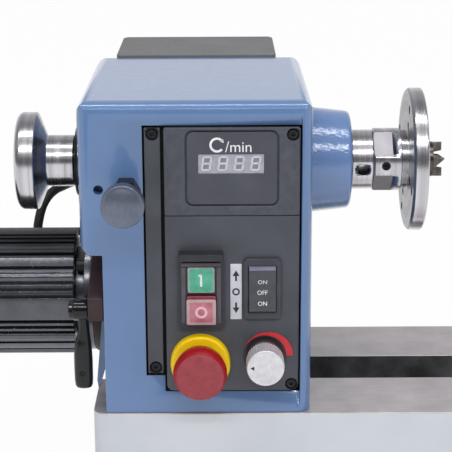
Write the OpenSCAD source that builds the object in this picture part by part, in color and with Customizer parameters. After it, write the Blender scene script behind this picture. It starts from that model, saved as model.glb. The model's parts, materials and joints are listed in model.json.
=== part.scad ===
// Headstock end of a variable-speed wood lathe on a short bed section.
// X runs along the spindle towards the faceplate, Y away from the operator, Z up.
// The origin lies on the floor plane, at the centre of the bed's foot bolts.

/* [Bed] */
// Length of the bed section
bed_len = 316; // [300:2:400]
// Width of each way
way_w = 73; // [66:1:84]
// Clear slot between the ways
slot_w = 50; // [44:1:56]
// Height of the ways above the floor
bed_h = 70; // [62:1:100]
// Thickness of the ways
way_t = 16; // [12:1:20]
// Thickness of the bed's walls
bed_wall = 10; // [8:0.5:13]
// Plan radius of the bed's corners
bed_corner_r = 12; // [6:1:18]
// Height of the cross webs
web_h = 26; // [18:1:34]
// Thickness of the cross webs
web_t = 14; // [10:1:20]
// Thickness of the feet
foot_t = 12; // [8:1:16]
// Length of each foot along the bed
foot_len = 44; // [36:1:60]
// Diameter of the holes in the feet
foot_hole_d = 11; // [8:0.5:14]
// Diameter of the threaded holes in the bed's joint face
end_hole_d = 8; // [6:0.5:10]
// Vertical spacing of the holes in the joint face
end_hole_gap = 24; // [18:1:28]

/* [Headstock casting] */
// Width of the casting along the spindle
head_w = 175; // [165:1:200]
// Depth of the casting's upper body
head_d = 200; // [198:1:230]
// Depth of the casting's foot
base_d = 192; // [186:1:196]
// Height of the casting's top above the spindle axis
crown_h = 66; // [62:1:76]
// Wall thickness of the casting
head_wall = 12; // [9:0.5:14]
// Plan radius of the casting's upright edges
head_corner_r = 11; // [6:1:14]
// Radius of the casting's top edges
head_edge_r = 10; // [5:1:12]
// Radius of the casting's rear top edge
rear_edge_r = 4; // [2:0.5:5]
// How far the casting stands out past the bed's left end
head_over = 6.5; // [2:0.5:10]
// How far the casting's front stands back from the bed's front
front_set = 2; // [0:0.5:6]
// Height of the spindle axis above the ways
centre_h = 178; // [172:1:194]
// Gap between the motor plate and the ledge over it
ledge_gap = 8; // [6:0.5:12]
// Depth of the recess below that ledge
ledge_in = 17; // [15:0.5:19]
// Wall thickness behind that recess
recess_wall = 9; // [8:0.5:10]
// Height of the step under the casting's rear
rear_step_h = 46; // [30:1:60]
// Size of the pads that take the hold-down bolts
pad = 24; // [20:1:28]
// Height of those pads
pad_h = 30; // [22:1:34]
// Diameter of the hold-down bolts
hold_bolt_d = 10; // [8:1:12]
// Diameter of the bore beside the index plunger
side_bore_d = 7; // [5:0.5:8]
// Distance of that bore left of the casting's centre
side_bore_off = 72; // [70:0.5:75]

/* [Spindle boss and bearings] */
// Diameter of the boss at the casting
boss_base_d = 85.2; // [80:0.2:90]
// Diameter of the boss at its end
boss_end_d = 78.4; // [72:0.2:79]
// Length of the boss
boss_len = 34.3; // [30:0.1:42]
// Radius of the boss's outer edge
boss_edge_r = 4; // [2:0.5:6]
// Outer diameter of the front bearing
front_bearing_d = 62; // [58:1:64]
// Width of the front bearing
front_bearing_w = 14; // [12:1:16]
// Outer diameter of the rear bearing
rear_bearing_d = 42; // [40:1:44]
// Width of the rear bearing
rear_bearing_w = 12; // [10:1:14]
// Outer diameter of the rear bearing cap
cap_d = 58; // [57:1:64]
// Thickness of the rear bearing cap
cap_t = 9; // [7:0.5:11]
// Diameter of the cap's screws
cap_screw_d = 3.5; // [3:0.5:4]

/* [Spindle] */
// Diameter of the spindle in the front bearing
journal_d = 35; // [32:1:38]
// Diameter of the spindle in the rear bearing
rear_journal_d = 20; // [19:1:22]
// Diameter of the handwheel's seat
wheel_seat_d = 17; // [15:1:18]
// Diameter of the collar behind the nose
collar_d = 47.4; // [45:0.2:52]
// Length of the collar
collar_len = 16.9; // [15:0.1:22]
// Running gap between the boss and the collar
collar_gap = 1.2; // [0.6:0.1:2]
// Diameter of the threaded nose
nose_d = 33; // [30:1:33]
// Length of the threaded nose
nose_len = 24; // [20:1:27]
// Diameter of the bore through the spindle
bore_d = 10; // [8:0.5:11]
// Diameter of the taper socket at the nose
taper_d = 17.8; // [17:0.1:18.5]
// Diameter of the taper socket at its inner end
taper_end_d = 14.6; // [14:0.1:15]
// Depth of the taper socket
taper_len = 64; // [58:1:68]
// Diameter of the tommy-bar holes in the collar
tommy_d = 9.6; // [8:0.2:11]
// Depth of the tommy-bar holes
tommy_depth = 10; // [7:0.5:11]

/* [Faceplate and spur centre] */
// Diameter of the faceplate's hub
hub_d = 50; // [47:0.5:54]
// Length of the hub
hub_len = 22; // [20:0.5:26]
// Diameter of the neck behind the plate
neck_d = 47; // [44:0.5:49]
// Length of the neck
neck_len = 5.4; // [4:0.1:7]
// Diameter of the faceplate
plate_d = 114; // [110:1:130]
// Thickness of the faceplate
plate_t = 11.8; // [10:0.1:14]
// Edge chamfer of the faceplate
plate_chamfer = 2; // [1:0.5:3]
// Pitch circle of the inner ring of screw holes
inner_ring_d = 62; // [60:1:66]
// Pitch circle of the outer ring of screw holes
outer_ring_d = 92; // [86:1:96]
// Diameter of the screw holes
plate_hole_d = 7; // [5:0.5:8]
// Holes in each ring
plate_holes = 4; // [4:1:6]
// Diameter of the set screws in the hub
grub_d = 7; // [5:0.5:8]
// Diameter of the spur centre's head
spur_d = 28; // [24:0.5:29]
// How far the spur prongs stand past the faceplate
spur_out = 17; // [14:0.5:20]
// Length of the spur prongs
prong_len = 8; // [6:0.5:10]
// Width of a spur prong
prong_w = 6; // [4:0.5:7]
// How far the point stands past the prongs
point_out = 3; // [1.5:0.5:5]

/* [Handwheel] */
// Diameter of the handwheel's rim
wheel_d = 78; // [70:1:90]
// Width of the rim
rim_w = 15.4; // [12:0.2:18]
// Length of the cone behind the rim
cone_len = 7.8; // [6:0.2:10]
// Diameter of the handwheel's hub
wheel_hub_d = 41; // [36:0.5:46]
// Length of the hub
wheel_hub_len = 22.3; // [20:0.1:26]
// Gap between the hub and the rear bearing cap
wheel_gap = 1; // [0.6:0.1:1.6]
// Diameter of the hollow in the handwheel's face
dish_d = 56; // [50:1:60]
// Depth of that hollow
dish_depth = 9; // [6:0.5:11]

/* [Belt drive] */
// Distance between the spindle and the motor shaft
shaft_gap = 109; // [107:0.5:112]
// Diameter of the spindle pulley
big_pulley_d = 80; // [76:1:84]
// Diameter of the motor pulley
small_pulley_d = 44; // [40:1:46]
// Width of the pulleys
pulley_w = 26; // [22:1:28]
// Left side of the pulleys, left of the casting's centre
pulley_off = 44; // [43:0.5:45]
// Thickness of the belt
belt_t = 4; // [3:0.5:5]
// Width of the belt
belt_w = 19; // [15:1:20]
// Height of the pulley flanges
flange_h = 2; // [1:0.5:3]
// Diameter of the index ring
index_ring_d = 84; // [80:1:86]
// Width of the index ring
index_ring_w = 9; // [8:0.5:10]
// Holes in the index ring
index_holes = 24; // [12:12:36]
// Depth of the index holes
index_depth = 8; // [7:0.5:9]

/* [Index plunger] */
// Distance of the plunger left of the casting's centre
plunger_off = 51; // [50:0.5:52]
// Diameter of the plunger's pin
plunger_d = 8; // [7:0.5:9]
// Travel of the plunger
plunger_travel = 6; // [4:0.5:6.5]
// Size of the plunger's hexagon across its flats
plunger_hex = 19; // [18:0.5:21]
// Length of the hexagon
plunger_hex_len = 14; // [12:0.5:16]
// Diameter of the plunger's sleeve
plunger_sleeve_d = 15; // [14.4:0.2:16]
// Length of the sleeve
plunger_sleeve_len = 11; // [10:0.5:13]
// Diameter of the plunger's knob
plunger_knob_d = 31.6; // [28:0.2:34]
// Thickness of the plunger's knob
plunger_knob_len = 20; // [16:0.5:24]

/* [Motor] */
// Diameter of the motor housing
motor_d = 102; // [98:1:106]
// Length of the motor housing
motor_len = 150; // [130:2:190]
// Width of the cooling grooves
groove_w = 3; // [2:0.25:3.5]
// Depth of the cooling grooves
groove_depth = 6; // [4:0.5:8]
// Length of the front end bell
bell_len = 15.5; // [14:0.5:20]
// Length of the rear end bell
rear_bell_len = 18; // [14:0.5:24]
// Diameter of the motor shaft
motor_shaft_d = 16; // [14:1:18]
// Diameter of the motor plate's disc
disc_d = 100; // [96:1:104]
// Thickness of the motor plate
motor_plate_t = 12; // [9:0.2:14]
// Diameter of the motor bolts
motor_bolt_d = 6; // [5:0.5:7]
// Distance of the pivot bolt behind the spindle axis
pivot_off = 75; // [70:1:80]
// Diameter of the pivot bolt and the lock stud
pivot_d = 10; // [8:0.5:11]
// Distance of the lock stud in front of the spindle axis
stud_off = 82; // [80:0.5:83]
// Swing of the motor when the belt is slackened, in degrees
motor_swing = 2.5; // [1:0.5:3]
// Length of the terminal box along the motor
terminal_len = 40; // [34:1:48]
// Depth of the terminal box
terminal_d = 40; // [36:1:46]
// Height of the terminal box
terminal_h = 26; // [22:1:27]

/* [Motor lock lever] */
// Diameter of the lever's hub
lever_hub_d = 17; // [15:0.5:19]
// Length of the lever's hub
lever_hub_len = 12; // [10:0.5:14]
// Length of the lever from its axis to its end
lever_len = 64.5; // [54:0.5:72]
// How far the paddle stands in past the lever's hub face
paddle_in = 2; // [0:0.2:2.4]
// Width of the lever's paddle
paddle_w = 14.5; // [11:0.5:16]
// Thickness of the lever's paddle
paddle_t = 11; // [8:0.5:13]

/* [Controller box] */
// Width of the controller box
box_w = 137; // [120:1:150]
// Depth of the controller box
box_d = 100; // [90:1:130]
// Height of the controller box
box_h = 150; // [130:1:170]
// Wall of the controller box
box_wall = 2; // [1.5:0.5:3]
// How far the box stands above the casting
box_over = 2; // [0:0.5:8]
// Diameter of the cables
lead_d = 8; // [7:0.5:9]
// Length of a cable gland
gland_len = 18; // [14:1:22]

/* [Control panel] */
// Left edge of the panel, left of the casting's centre
panel_left = 37.4; // [36:0.2:38]
// Right edge of the panel, right of the casting's centre
panel_right = 77.4; // [74:0.2:78]
// Width of the panel's left strip
strip_w = 11.8; // [11:0.2:13]
// Groove between the strip and the plates
strip_gap = 2.6; // [1.5:0.1:3]
// Distance of the panel's top edge below the casting's top
panel_drop = 18.7; // [17:0.1:20]
// Height of the switch plate's lower edge
panel_bottom = 19.3; // [18:0.1:21]
// Height of the strip's lower edge
strip_bottom = 32.5; // [31:0.5:34]
// Height of the display plate
display_h = 66.8; // [65:0.2:69]
// Depth of the pocket that the panel lies in
pocket_d = 6; // [4:0.5:7]
// How far the plates stand out of the casting
panel_proud = 2.5; // [1:0.5:4]
// Gap round the panel in its pocket
pocket_gap = 1.5; // [0.8:0.1:1.8]
// Head diameter of the panel screws
panel_screw_d = 7; // [6:0.5:7.5]
// Width of the display bezel
bezel_w = 69.4; // [66:0.2:72]
// Height of the display bezel
bezel_h = 57.4; // [54:0.2:58]
// Width of the display window
window_w = 48.7; // [44:0.1:52]
// Height of the display window
window_h = 14.6; // [12:0.1:17]

/* [Switches] */
// Width of the push-button housing
switch_w = 33.5; // [32:0.5:35]
// Height of the push-button housing
switch_h = 56.5; // [54:0.5:58]
// Width of the start button
start_w = 20.5; // [18:0.5:22]
// Height of the start button
start_h = 20.3; // [18:0.1:21]
// Width of the stop button
stop_w = 22.3; // [20:0.1:24]
// Height of the stop button
stop_h = 22; // [20:0.5:23]
// Travel of the push buttons
button_travel = 3; // [2:0.5:4]
// Width of the rocker's bezel
rocker_bezel_w = 27.8; // [26:0.2:29]
// Height of the rocker's bezel
rocker_bezel_h = 47.8; // [45:0.2:50]
// Width of the rocker
rocker_w = 20.2; // [18:0.2:22]
// Radius of the rocker about its pivot
rocker_r = 18.6; // [17:0.2:19.5]
// Width of the label plate
label_w = 8.5; // [7:0.5:9]
// Height of the label plate
label_h = 43.8; // [38:0.2:46]

/* [Emergency stop and speed knob] */
// Diameter of the yellow ring
ring_d = 45.6; // [43:0.2:47]
// Height of the yellow ring
ring_h = 9; // [7:0.5:9.5]
// Diameter of the mushroom head
mushroom_d = 41; // [38:0.5:43]
// Height of the mushroom head above the plate
mushroom_h = 30; // [28:0.5:34]
// Travel of the emergency stop
stop_travel = 3; // [2:0.5:3]
// Diameter of the speed knob
knob_d = 28.6; // [26:0.2:30]
// Height of the speed knob above the plate
knob_h = 28; // [22:0.5:30]
// Outer radius of the speed scale
scale_r = 19; // [18:0.5:20]

/* [Clearances] */
// Radial running clearance of a shaft in its hole
run_gap = 0.05; // [0.03:0.01:0.08]
// Clearance of a seated piece
seat_gap = 0.02; // [0.01:0.01:0.03]
// Clearance between pieces that slide or swing past each other
slip_gap = 0.35; // [0.3:0.05:0.5]

/* [Hidden] */
$fn = 64;

// Small overlap that keeps cuts clean
eps = 0.01;
blue = "#7490b8";
iron = "#aaa7ab";
steel = "#c6c5ca";
black = "#2b2c30";
grey = "#55585f";

// Bed
bed_w = 2 * way_w + slot_w;
rail_y = slot_w / 2 + way_w / 2;
foot_x = bed_len / 2 - foot_len / 2;
end_hole_y = rail_y;
end_hole_z = foot_t + (bed_h - way_t - foot_t) / 2;

// Casting, measured from its centre on the ways below the spindle axis
head_x = -bed_len / 2 - head_over + head_w / 2;
left = -head_w / 2;
right = head_w / 2;
head_h = centre_h + crown_h;
front_y = -bed_w / 2 + front_set;
rear_y = front_y + head_d;
base_y = front_y + base_d;
recess_x = left + ledge_in;
in_left = recess_x + recess_wall;
in_right = right - head_wall;
in_front = front_y + head_wall;
in_rear = base_y - head_wall;
bolt_x = [in_left + pad / 2, in_right - pad / 2];
bolt_y = [in_front + pad / 2, in_rear - pad / 2];

// Spindle line
boss_x = right + boss_len;
collar_x = boss_x + collar_gap;
nose_x = collar_x + collar_len;
front_bearing_x = boss_x - boss_edge_r - front_bearing_w;
plate_x = nose_x + hub_len + neck_len;
face_x = plate_x + plate_t;
wheel_hub_x = left - cap_t - wheel_gap;
wheel_x = wheel_hub_x - wheel_hub_len - cone_len - rim_w;
wheel_recess = 2;
grub_x = 9.4;
pulley_x = -pulley_off;
pulley_end = pulley_x + pulley_w;
shoulder_x = in_left + 2;
seal_x = boss_x - boss_edge_r + slip_gap;

// Motor
motor_z = centre_h - shaft_gap;
ledge_h = motor_z + disc_d / 2 + ledge_gap;
motor_plate_x = recess_x - slip_gap - motor_plate_t;
bell_x = motor_plate_x - bell_len;
motor_x = bell_x - motor_len;
bell_flange = 7.5;
bell_d = motor_d - 4;
motor_bolt_r = disc_d / 2 - motor_bolt_d - 1;
terminal_x = bell_x - 41;
terminal_y = motor_d / 2 - 7;
terminal_top = motor_z + 8;
terminal_low = terminal_top - terminal_h;
stud_z = motor_z + 11;
pivot_z = motor_z + 6;
stud_slot_w = pivot_d + 1.6;
ear_w = 2 * stud_slot_w;
ear_low = stud_z - pivot_d / 2 - 1;
ear_high = stud_z + pivot_d + 2;
lever_x = motor_plate_x - slip_gap;
opening_d = small_pulley_d + 2 * flange_h + 2 * belt_t + 12;

// Controller box
box_x = -2;
box_top = head_h + box_over;
box_bottom = box_top - box_h;
box_gland_y = rear_y + 36;
box_gland_z = box_top - 117;
gland_d = lead_d + 9;

// Panel
panel_y = front_y - panel_proud;
panel_t = pocket_d + panel_proud;
main_left = -panel_left + strip_w + strip_gap;
main_w = panel_right - main_left;
panel_top = head_h - panel_drop;
plate_joint = panel_top - display_h;
display_mid = [27.3, panel_top - 30.6];
window_mid = [26.6, panel_top - 27.3];
switch_mid = [3.8, 99.5];
start_z = 110;
stop_z = 86.4;
label_mid = [30, 99.3];
rocker_mid = [49.8, 101.9];
estop_mid = [2.8, 43.2];
knob_mid = [51.7, 48];
screw_in = 5.2;
panel_screw_spots = [
    [-panel_left + strip_w / 2, panel_top - screw_in, 0],
    [-panel_left + strip_w / 2, strip_bottom + screw_in, 0],
    [panel_right - screw_in, panel_top - screw_in, panel_proud],
    [panel_right - screw_in, panel_bottom + screw_in, panel_proud]
];
screw_shank_d = 4;
window_cut = [main_left + 5, panel_bottom + 9, panel_right - 10.5, panel_top - 9];

bezel_t = 1.8;
bezel_sink = 0.3;
bezel_gap = 1.3;
bezel_r = 6;
switch_t = 4;
hood_out = 12;
hood_h = 5;
hood_lap = 1.2;
button_out = 1.6;
stop_out = 4;
button_deep = 6;
rocker_axis = -2;
estop_collar_d = 22;
stem_d = 14;
head_gap = 3.5;
bush_d = 10;
knob_shaft_d = 6;
scale_t = 1;
scale_shift = 2.6;

// Index plunger, measured out from the casting's front
sleeve_end = plunger_hex_len + plunger_sleeve_len;
spring_bore_d = plunger_d + 4.4;
spring_end = sleeve_end - 5;
plunger_collar = 3;
spring_len = 11;
ring_gap = 1.5;
knob_back = sleeve_end + plunger_travel + 1;

// Belt access cover
cover_size = 84;
cover_t = 4;
cover_z = motor_z + 3;

// Small button-head screws of the cover and the lid
small_screw_d = 4;
small_head_d = 7.6;
small_head_t = 2.4;
small_screw_len = 9;
small_hole_d = small_screw_d + 0.6;

// Route of the motor lead, from the controller box to the terminal box: x, y and drop below the box's gland
lead_route = [for (p = [
    [-89, 140, 0], [-99.5, 138, 0], [-108.5, 132, 0], [-114.5, 122.5, 0], [-118.5, 114.5, 0],
    [-122, 106.5, 0], [-125.5, 98.5, 0], [-130.7, 87.5, 2.5], [-135.5, 78.5, 9.5],
    [-138.4, 72, 20], [-139.8, 70, 32]
]) [p[0], p[1], box_gland_z - p[2]]];
lead_sides = 10;

// Placement helpers
module on_head() { translate([head_x, 0, bed_h]) children(); }
module on_axis() { on_head() translate([0, 0, centre_h]) rotate([0, 90, 0]) children(); }
module on_motor() { on_head() translate([0, 0, motor_z]) rotate([0, 90, 0]) children(); }
module on_panel(spot) { on_head() translate([spot[0], panel_y, spot[1]]) rotate([90, 0, 0]) children(); }

// A solid of revolution about the spindle or motor axis, from [radius, x] points
module turned(points) { rotate_extrude($fn = 96) polygon(points); }

// A round bar along X between two places on its axis
module bar(d, x0, x1) { translate([0, 0, x0]) cylinder(d = d, h = x1 - x0); }

// A centred rectangle with round corners
module round_rect(w, h, r) {
    square([w - 2 * r, h], center = true);
    square([w, h - 2 * r], center = true);
    for (sx = [-1, 1], sy = [-1, 1]) translate([sx * (w / 2 - r), sy * (h / 2 - r)]) circle(r = r);
}

// A plate with round corners, its back on the panel's front face
module plate(w, h, r, t) { linear_extrude(t) round_rect(w, h, r); }

// A box given by its two corners
module span(a, b) { translate(a) cube(b - a); }

// Arc points of a quarter circle for turned outlines
function quarter(cx, cy, r, from, steps = 6) =
    [for (i = [0:steps]) let (a = from + 90 * i / steps) [cx + r * cos(a), cy + r * sin(a)]];

// A tube swept along a list of points
function unit(v) = v / norm(v);
function heading(p, i) = unit(p[min(i + 1, len(p) - 1)] - p[max(i - 1, 0)]);
function ring(p, i, r, n, start, finish) =
    let (t = i == 0 ? start : i == len(p) - 1 ? finish : heading(p, i),
         u = unit(cross(t, [0.3, 1, 0.2])), w = cross(t, u))
    [for (k = [0:n - 1]) p[i] + r * (cos(360 * k / n) * u + sin(360 * k / n) * w)];
module tube(p, r, n, start, finish) {
    m = len(p);
    points = [for (i = [0:m - 1]) each ring(p, i, r, n, start, finish)];
    sides = [for (i = [0:m - 2], k = [0:n - 1])
        let (a = i * n + k, b = i * n + (k + 1) % n) each [[a, b, b + n], [a, b + n, a + n]]];
    first = [for (k = [1:n - 2]) [0, k + 1, k]];
    last = [for (k = [1:n - 2]) [(m - 1) * n, (m - 1) * n + k, (m - 1) * n + k + 1]];
    polyhedron(points, concat(sides, first, last));
}

// Bed

module foot_spots() {
    for (sx = [-1, 1], sy = [-1, 1]) translate([sx * foot_x, sy * rail_y, 0]) children();
}

module bed() {
    color(iron) difference() {
        union() {
            linear_extrude(bed_h) difference() {
                round_rect(bed_len, bed_w, bed_corner_r);
                square([bed_len + 1, slot_w], center = true);
            }
            for (x = [-bed_len / 2, -web_t / 2, bed_len / 2 - web_t])
                translate([x, -slot_w / 2 - eps, 0]) cube([web_t, slot_w + 2 * eps, web_h]);
        }
        for (s = [-1, 1]) translate([0, s * rail_y, 0]) {
            inner = way_w - 2 * bed_wall;
            translate([-bed_len / 2 + bed_wall, -inner / 2, foot_t])
                cube([bed_len - 2 * bed_wall, inner, bed_h - way_t - foot_t]);
            translate([-bed_len / 2 + foot_len, -inner / 2, -1])
                cube([bed_len - 2 * foot_len, inner, foot_t + 2]);
        }
        foot_spots() translate([0, 0, -1]) cylinder(d = foot_hole_d, h = foot_t + 2);
        for (y = [-1, 1], z = [-1, 1])
            translate([bed_len / 2 - bed_wall - 1, y * end_hole_y, end_hole_z + z * end_hole_gap / 2])
                rotate([0, 90, 0]) cylinder(d = end_hole_d, h = bed_wall + 2);
        on_head() for (x = bolt_x, y = bolt_y)
            translate([x, y, -way_t - 1]) cylinder(d = hold_bolt_d + 1, h = way_t + 2);
    }
}

// Headstock casting

module casting_plan() {
    linear_extrude(head_h) translate([0, (front_y + rear_y) / 2]) round_rect(head_w, head_d, head_corner_r);
}

module casting_front() {
    upper = head_h - ledge_h;
    translate([0, rear_y, 0]) rotate([90, 0, 0]) linear_extrude(head_d) {
        translate([0, ledge_h + upper / 2]) round_rect(head_w, upper, head_edge_r);
        translate([recess_x, 0]) square([right - recess_x, ledge_h + upper / 2]);
    }
}

module casting_side() {
    upper = head_h - rear_step_h;
    rotate([90, 0, 90]) translate([0, 0, left]) linear_extrude(head_w) {
        translate([(front_y + rear_y) / 2, rear_step_h + upper / 2]) round_rect(head_d, upper, head_edge_r);
        translate([front_y, 0]) square([base_d, rear_step_h + upper / 2]);
        translate([rear_y - head_edge_r, head_h - head_edge_r])
            square([head_edge_r - rear_edge_r, head_edge_r]);
        translate([rear_y - head_edge_r, head_h - head_edge_r])
            square([head_edge_r, head_edge_r - rear_edge_r]);
        translate([rear_y - rear_edge_r, head_h - rear_edge_r]) circle(r = rear_edge_r);
    }
}

// Thin lug that hangs from the recessed wall behind the lock lever
module motor_lug() {
    low = 8;
    high = stud_z - pivot_d;
    translate([0, -56, 0]) rotate([90, 0, 0]) linear_extrude(12)
        polygon([[recess_x + 4, high], [recess_x - 4, high - 4], [recess_x - 9, low + 8],
                 [recess_x - 8, low + 1], [recess_x - 6.5, low + 3], [recess_x, high - 36],
                 [recess_x + 4, high - 33]]);
}

module boss_outline() {
    base_r = boss_base_d / 2;
    end_r = boss_end_d / 2;
    turned(concat([[0, right - 1], [base_r, right - 1], [base_r, right]],
                  quarter(end_r - boss_edge_r, boss_x - boss_edge_r, boss_edge_r, 0), [[0, boss_x]]));
}

module pocket_cut() {
    deep = pocket_d + 4;
    gap = pocket_gap;
    translate([0, front_y + pocket_d, 0]) rotate([90, 0, 0]) linear_extrude(deep) {
        translate([-panel_left - gap, strip_bottom - gap])
            square([strip_w + 2 * gap + strip_gap, panel_top - strip_bottom + 2 * gap]);
        translate([main_left - gap, panel_bottom - gap])
            square([main_w + 2 * gap, panel_top - panel_bottom + 2 * gap]);
    }
}

module headstock_casting() {
    color(blue) on_head() difference() {
        union() {
            difference() {
                union() {
                    intersection() {
                        casting_plan();
                        casting_front();
                        casting_side();
                    }
                    motor_lug();
                }
                difference() {
                    union() {
                        span([in_left, in_front, -1], [in_right, in_rear, head_h - head_wall]);
                        span([in_left, in_front, rear_step_h + head_wall],
                             [in_right, rear_y - head_wall, head_h - head_wall]);
                    }
                    for (x = bolt_x, y = bolt_y)
                        translate([x - pad / 2, y - pad / 2, 0]) cube([pad, pad, pad_h]);
                }
            }
            translate([0, 0, centre_h]) rotate([0, 90, 0]) boss_outline();
        }
        pocket_cut();
        span([window_cut[0], front_y, window_cut[1]], [window_cut[2], in_front + 1, window_cut[3]]);
        for (x = bolt_x, y = bolt_y)
            translate([x, y, -1]) cylinder(d = hold_bolt_d + 2 * seat_gap, h = pad_h - 3);
        translate([0, 0, centre_h]) rotate([0, 90, 0]) {
            bar(journal_d + 4, in_right - 1, boss_x + 1);
            bar(front_bearing_d + 2 * seat_gap, front_bearing_x, boss_x + 1);
            bar(rear_journal_d + 4, left - 1, in_left + 1);
            bar(rear_bearing_d + 2 * seat_gap, left - 1, left + rear_bearing_w);
            cap_screw_spots() bar(cap_screw_d + 2 * seat_gap, left - 1, left + 10);
        }
        translate([0, 0, motor_z]) rotate([0, 90, 0]) bar(opening_d, recess_x - 1, in_left + 1);
        translate([0, pivot_off, pivot_z]) rotate([0, 90, 0])
            bar(pivot_d + 2 * seat_gap, recess_x - 1, in_left + 1);
        translate([0, -stud_off, stud_z]) rotate([0, 90, 0])
            bar(pivot_d + 2 * seat_gap, recess_x - 1, in_left + 1);
        for (x = [plunger_off, side_bore_off])
            translate([-x, in_front + 1, centre_h]) rotate([90, 0, 0])
                cylinder(d = x == plunger_off ? plunger_hex - 3 : side_bore_d, h = head_wall + 2);
        panel_screw_holes();
        cover_opening();
        cover_screw_spots() translate([0, 0, -head_wall])
            cylinder(d = small_screw_d + 2 * seat_gap, h = head_wall + 1);
    }
}

module panel_screw_holes() {
    for (s = panel_screw_spots)
        translate([s[0], in_front + 1, s[1]]) rotate([90, 0, 0])
            cylinder(d = screw_shank_d + 2 * seat_gap, h = head_wall);
}

module hold_down_bolts() {
    head_h_bolt = hold_bolt_d * 0.65;
    color(steel) on_head() for (x = bolt_x, y = bolt_y) translate([x, y, 0]) {
        translate([0, 0, -way_t - eps]) cylinder(d = hold_bolt_d, h = way_t + pad_h - 6);
        translate([0, 0, -way_t - head_h_bolt]) cylinder(d = hold_bolt_d * 1.9, h = head_h_bolt, $fn = 6);
    }
}

// A small screw, its head's underside at the origin
module small_screw() {
    translate([0, 0, -small_screw_len]) cylinder(d = small_screw_d, h = small_screw_len + eps);
    cylinder(d = small_head_d, h = small_head_t);
}

// Belt access cover, let flush into the casting's right wall

module cover_place() { translate([right, 0, cover_z]) rotate([0, 90, 0]) children(); }
module cover_opening() {
    inner = cover_size - 26;
    outer = cover_size + 2 * slip_gap;
    cover_place() {
        translate([0, 0, -head_wall - 1]) linear_extrude(head_wall + 2) round_rect(inner, inner, 6);
        translate([0, 0, -cover_t]) linear_extrude(cover_t + 1) round_rect(outer, outer, 8 + slip_gap);
    }
}
module cover_screw_spots() {
    cover_place() for (sx = [-1, 1], sy = [-1, 1])
        translate([sx * (cover_size / 2 - 7), sy * (cover_size / 2 - 7), 0]) children();
}
module belt_cover() {
    color(blue) on_head() difference() {
        cover_place() translate([0, 0, -cover_t])
            linear_extrude(cover_t) round_rect(cover_size, cover_size, 8);
        cover_screw_spots() translate([0, 0, -cover_t - 1]) cylinder(d = small_hole_d, h = cover_t + 2);
        cover_screw_spots() translate([0, 0, -small_head_t]) cylinder(d = small_head_d + 0.8, h = cover_t);
    }
}
module belt_cover_screws() {
    color(black) on_head() cover_screw_spots() translate([0, 0, -small_head_t]) small_screw();
}

// Bearings

module front_bearing() {
    color(steel) on_axis() difference() {
        bar(front_bearing_d, front_bearing_x, front_bearing_x + front_bearing_w);
        bar(journal_d + 2 * run_gap, front_bearing_x - 1, boss_x);
    }
}

module rear_bearing() {
    color(steel) on_axis() difference() {
        bar(rear_bearing_d, left, left + rear_bearing_w);
        bar(rear_journal_d + 2 * run_gap, left - 1, left + rear_bearing_w + 1);
    }
}

module cap_screw_spots() {
    for (a = [30, 150, 270]) rotate([0, 0, a]) translate([(rear_bearing_d + cap_d) / 4, 0, 0]) children();
}

module rear_bearing_cap() {
    color(black) on_axis() difference() {
        turned([[0, left], [cap_d / 2, left], [cap_d / 2, left - cap_t + 2],
                [cap_d / 2 - 2, left - cap_t], [0, left - cap_t]]);
        bar(rear_journal_d + 2 * slip_gap, left - cap_t - 1, left + 1);
        cap_screw_spots() bar(cap_screw_d + 0.6, left - cap_t - 1, left + 1);
        cap_screw_spots() bar(cap_screw_d + 2.9, left - cap_t - 1, left - 4);
    }
}

module cap_screws() {
    color(steel) on_axis() cap_screw_spots() {
        bar(cap_screw_d, left - 4, left + 9);
        bar(cap_screw_d + 2.4, left - 7, left - 4);
    }
}

// Spindle group

module spindle() {
    end_x = wheel_x + wheel_recess + dish_depth;
    color(steel) on_axis() difference() {
        turned([
            [bore_d / 2, end_x], [wheel_seat_d / 2, end_x], [wheel_seat_d / 2, wheel_hub_x],
            [rear_journal_d / 2, wheel_hub_x], [rear_journal_d / 2, shoulder_x],
            [journal_d / 2, shoulder_x], [journal_d / 2, seal_x], [journal_d / 2 + 4, seal_x],
            [journal_d / 2 + 4, collar_x],
            [collar_d / 2, collar_x], [collar_d / 2, nose_x - 1], [collar_d / 2 - 1, nose_x],
            [nose_d / 2, nose_x], [nose_d / 2, nose_x + nose_len - 1.5],
            [nose_d / 2 - 1.5, nose_x + nose_len], [taper_d / 2, nose_x + nose_len],
            [taper_end_d / 2, nose_x + nose_len - taper_len], [bore_d / 2, nose_x + nose_len - taper_len]
        ]);
        for (a = [8, 188]) rotate([0, 0, a]) translate([0, 0, (collar_x + nose_x) / 2]) rotate([90, 0, 0])
            translate([0, 0, collar_d / 2 - tommy_depth]) cylinder(d = tommy_d, h = tommy_depth + 1);
    }
}

module handwheel() {
    r = wheel_d / 2;
    hub_r = wheel_hub_d / 2;
    face = wheel_x + wheel_recess;
    color(steel) on_axis() difference() {
        turned([
            [wheel_seat_d / 2 + seat_gap, face + dish_depth], [dish_d / 2 - dish_depth, face + dish_depth],
            [dish_d / 2, face], [dish_d / 2 + 2, wheel_x], [r - 3, wheel_x], [r, wheel_x + 3],
            [r, wheel_x + rim_w - 2], [r - 1, wheel_x + rim_w],
            [hub_r, wheel_x + rim_w + cone_len], [hub_r, wheel_hub_x - 1], [hub_r - 1, wheel_hub_x],
            [wheel_seat_d / 2 + seat_gap, wheel_hub_x]
        ]);
        wheel_screw_spot() cylinder(d = 6 + 2 * seat_gap, h = hub_r);
    }
}

// Set screw in the handwheel's hub, on the side away from the operator
module wheel_screw_spot() {
    translate([0, wheel_seat_d / 2, wheel_hub_x - wheel_hub_len / 2]) rotate([-90, 0, 0]) children();
}
module handwheel_screw() { color(black) on_axis() wheel_screw_spot() cylinder(d = 6, h = 8); }

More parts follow.
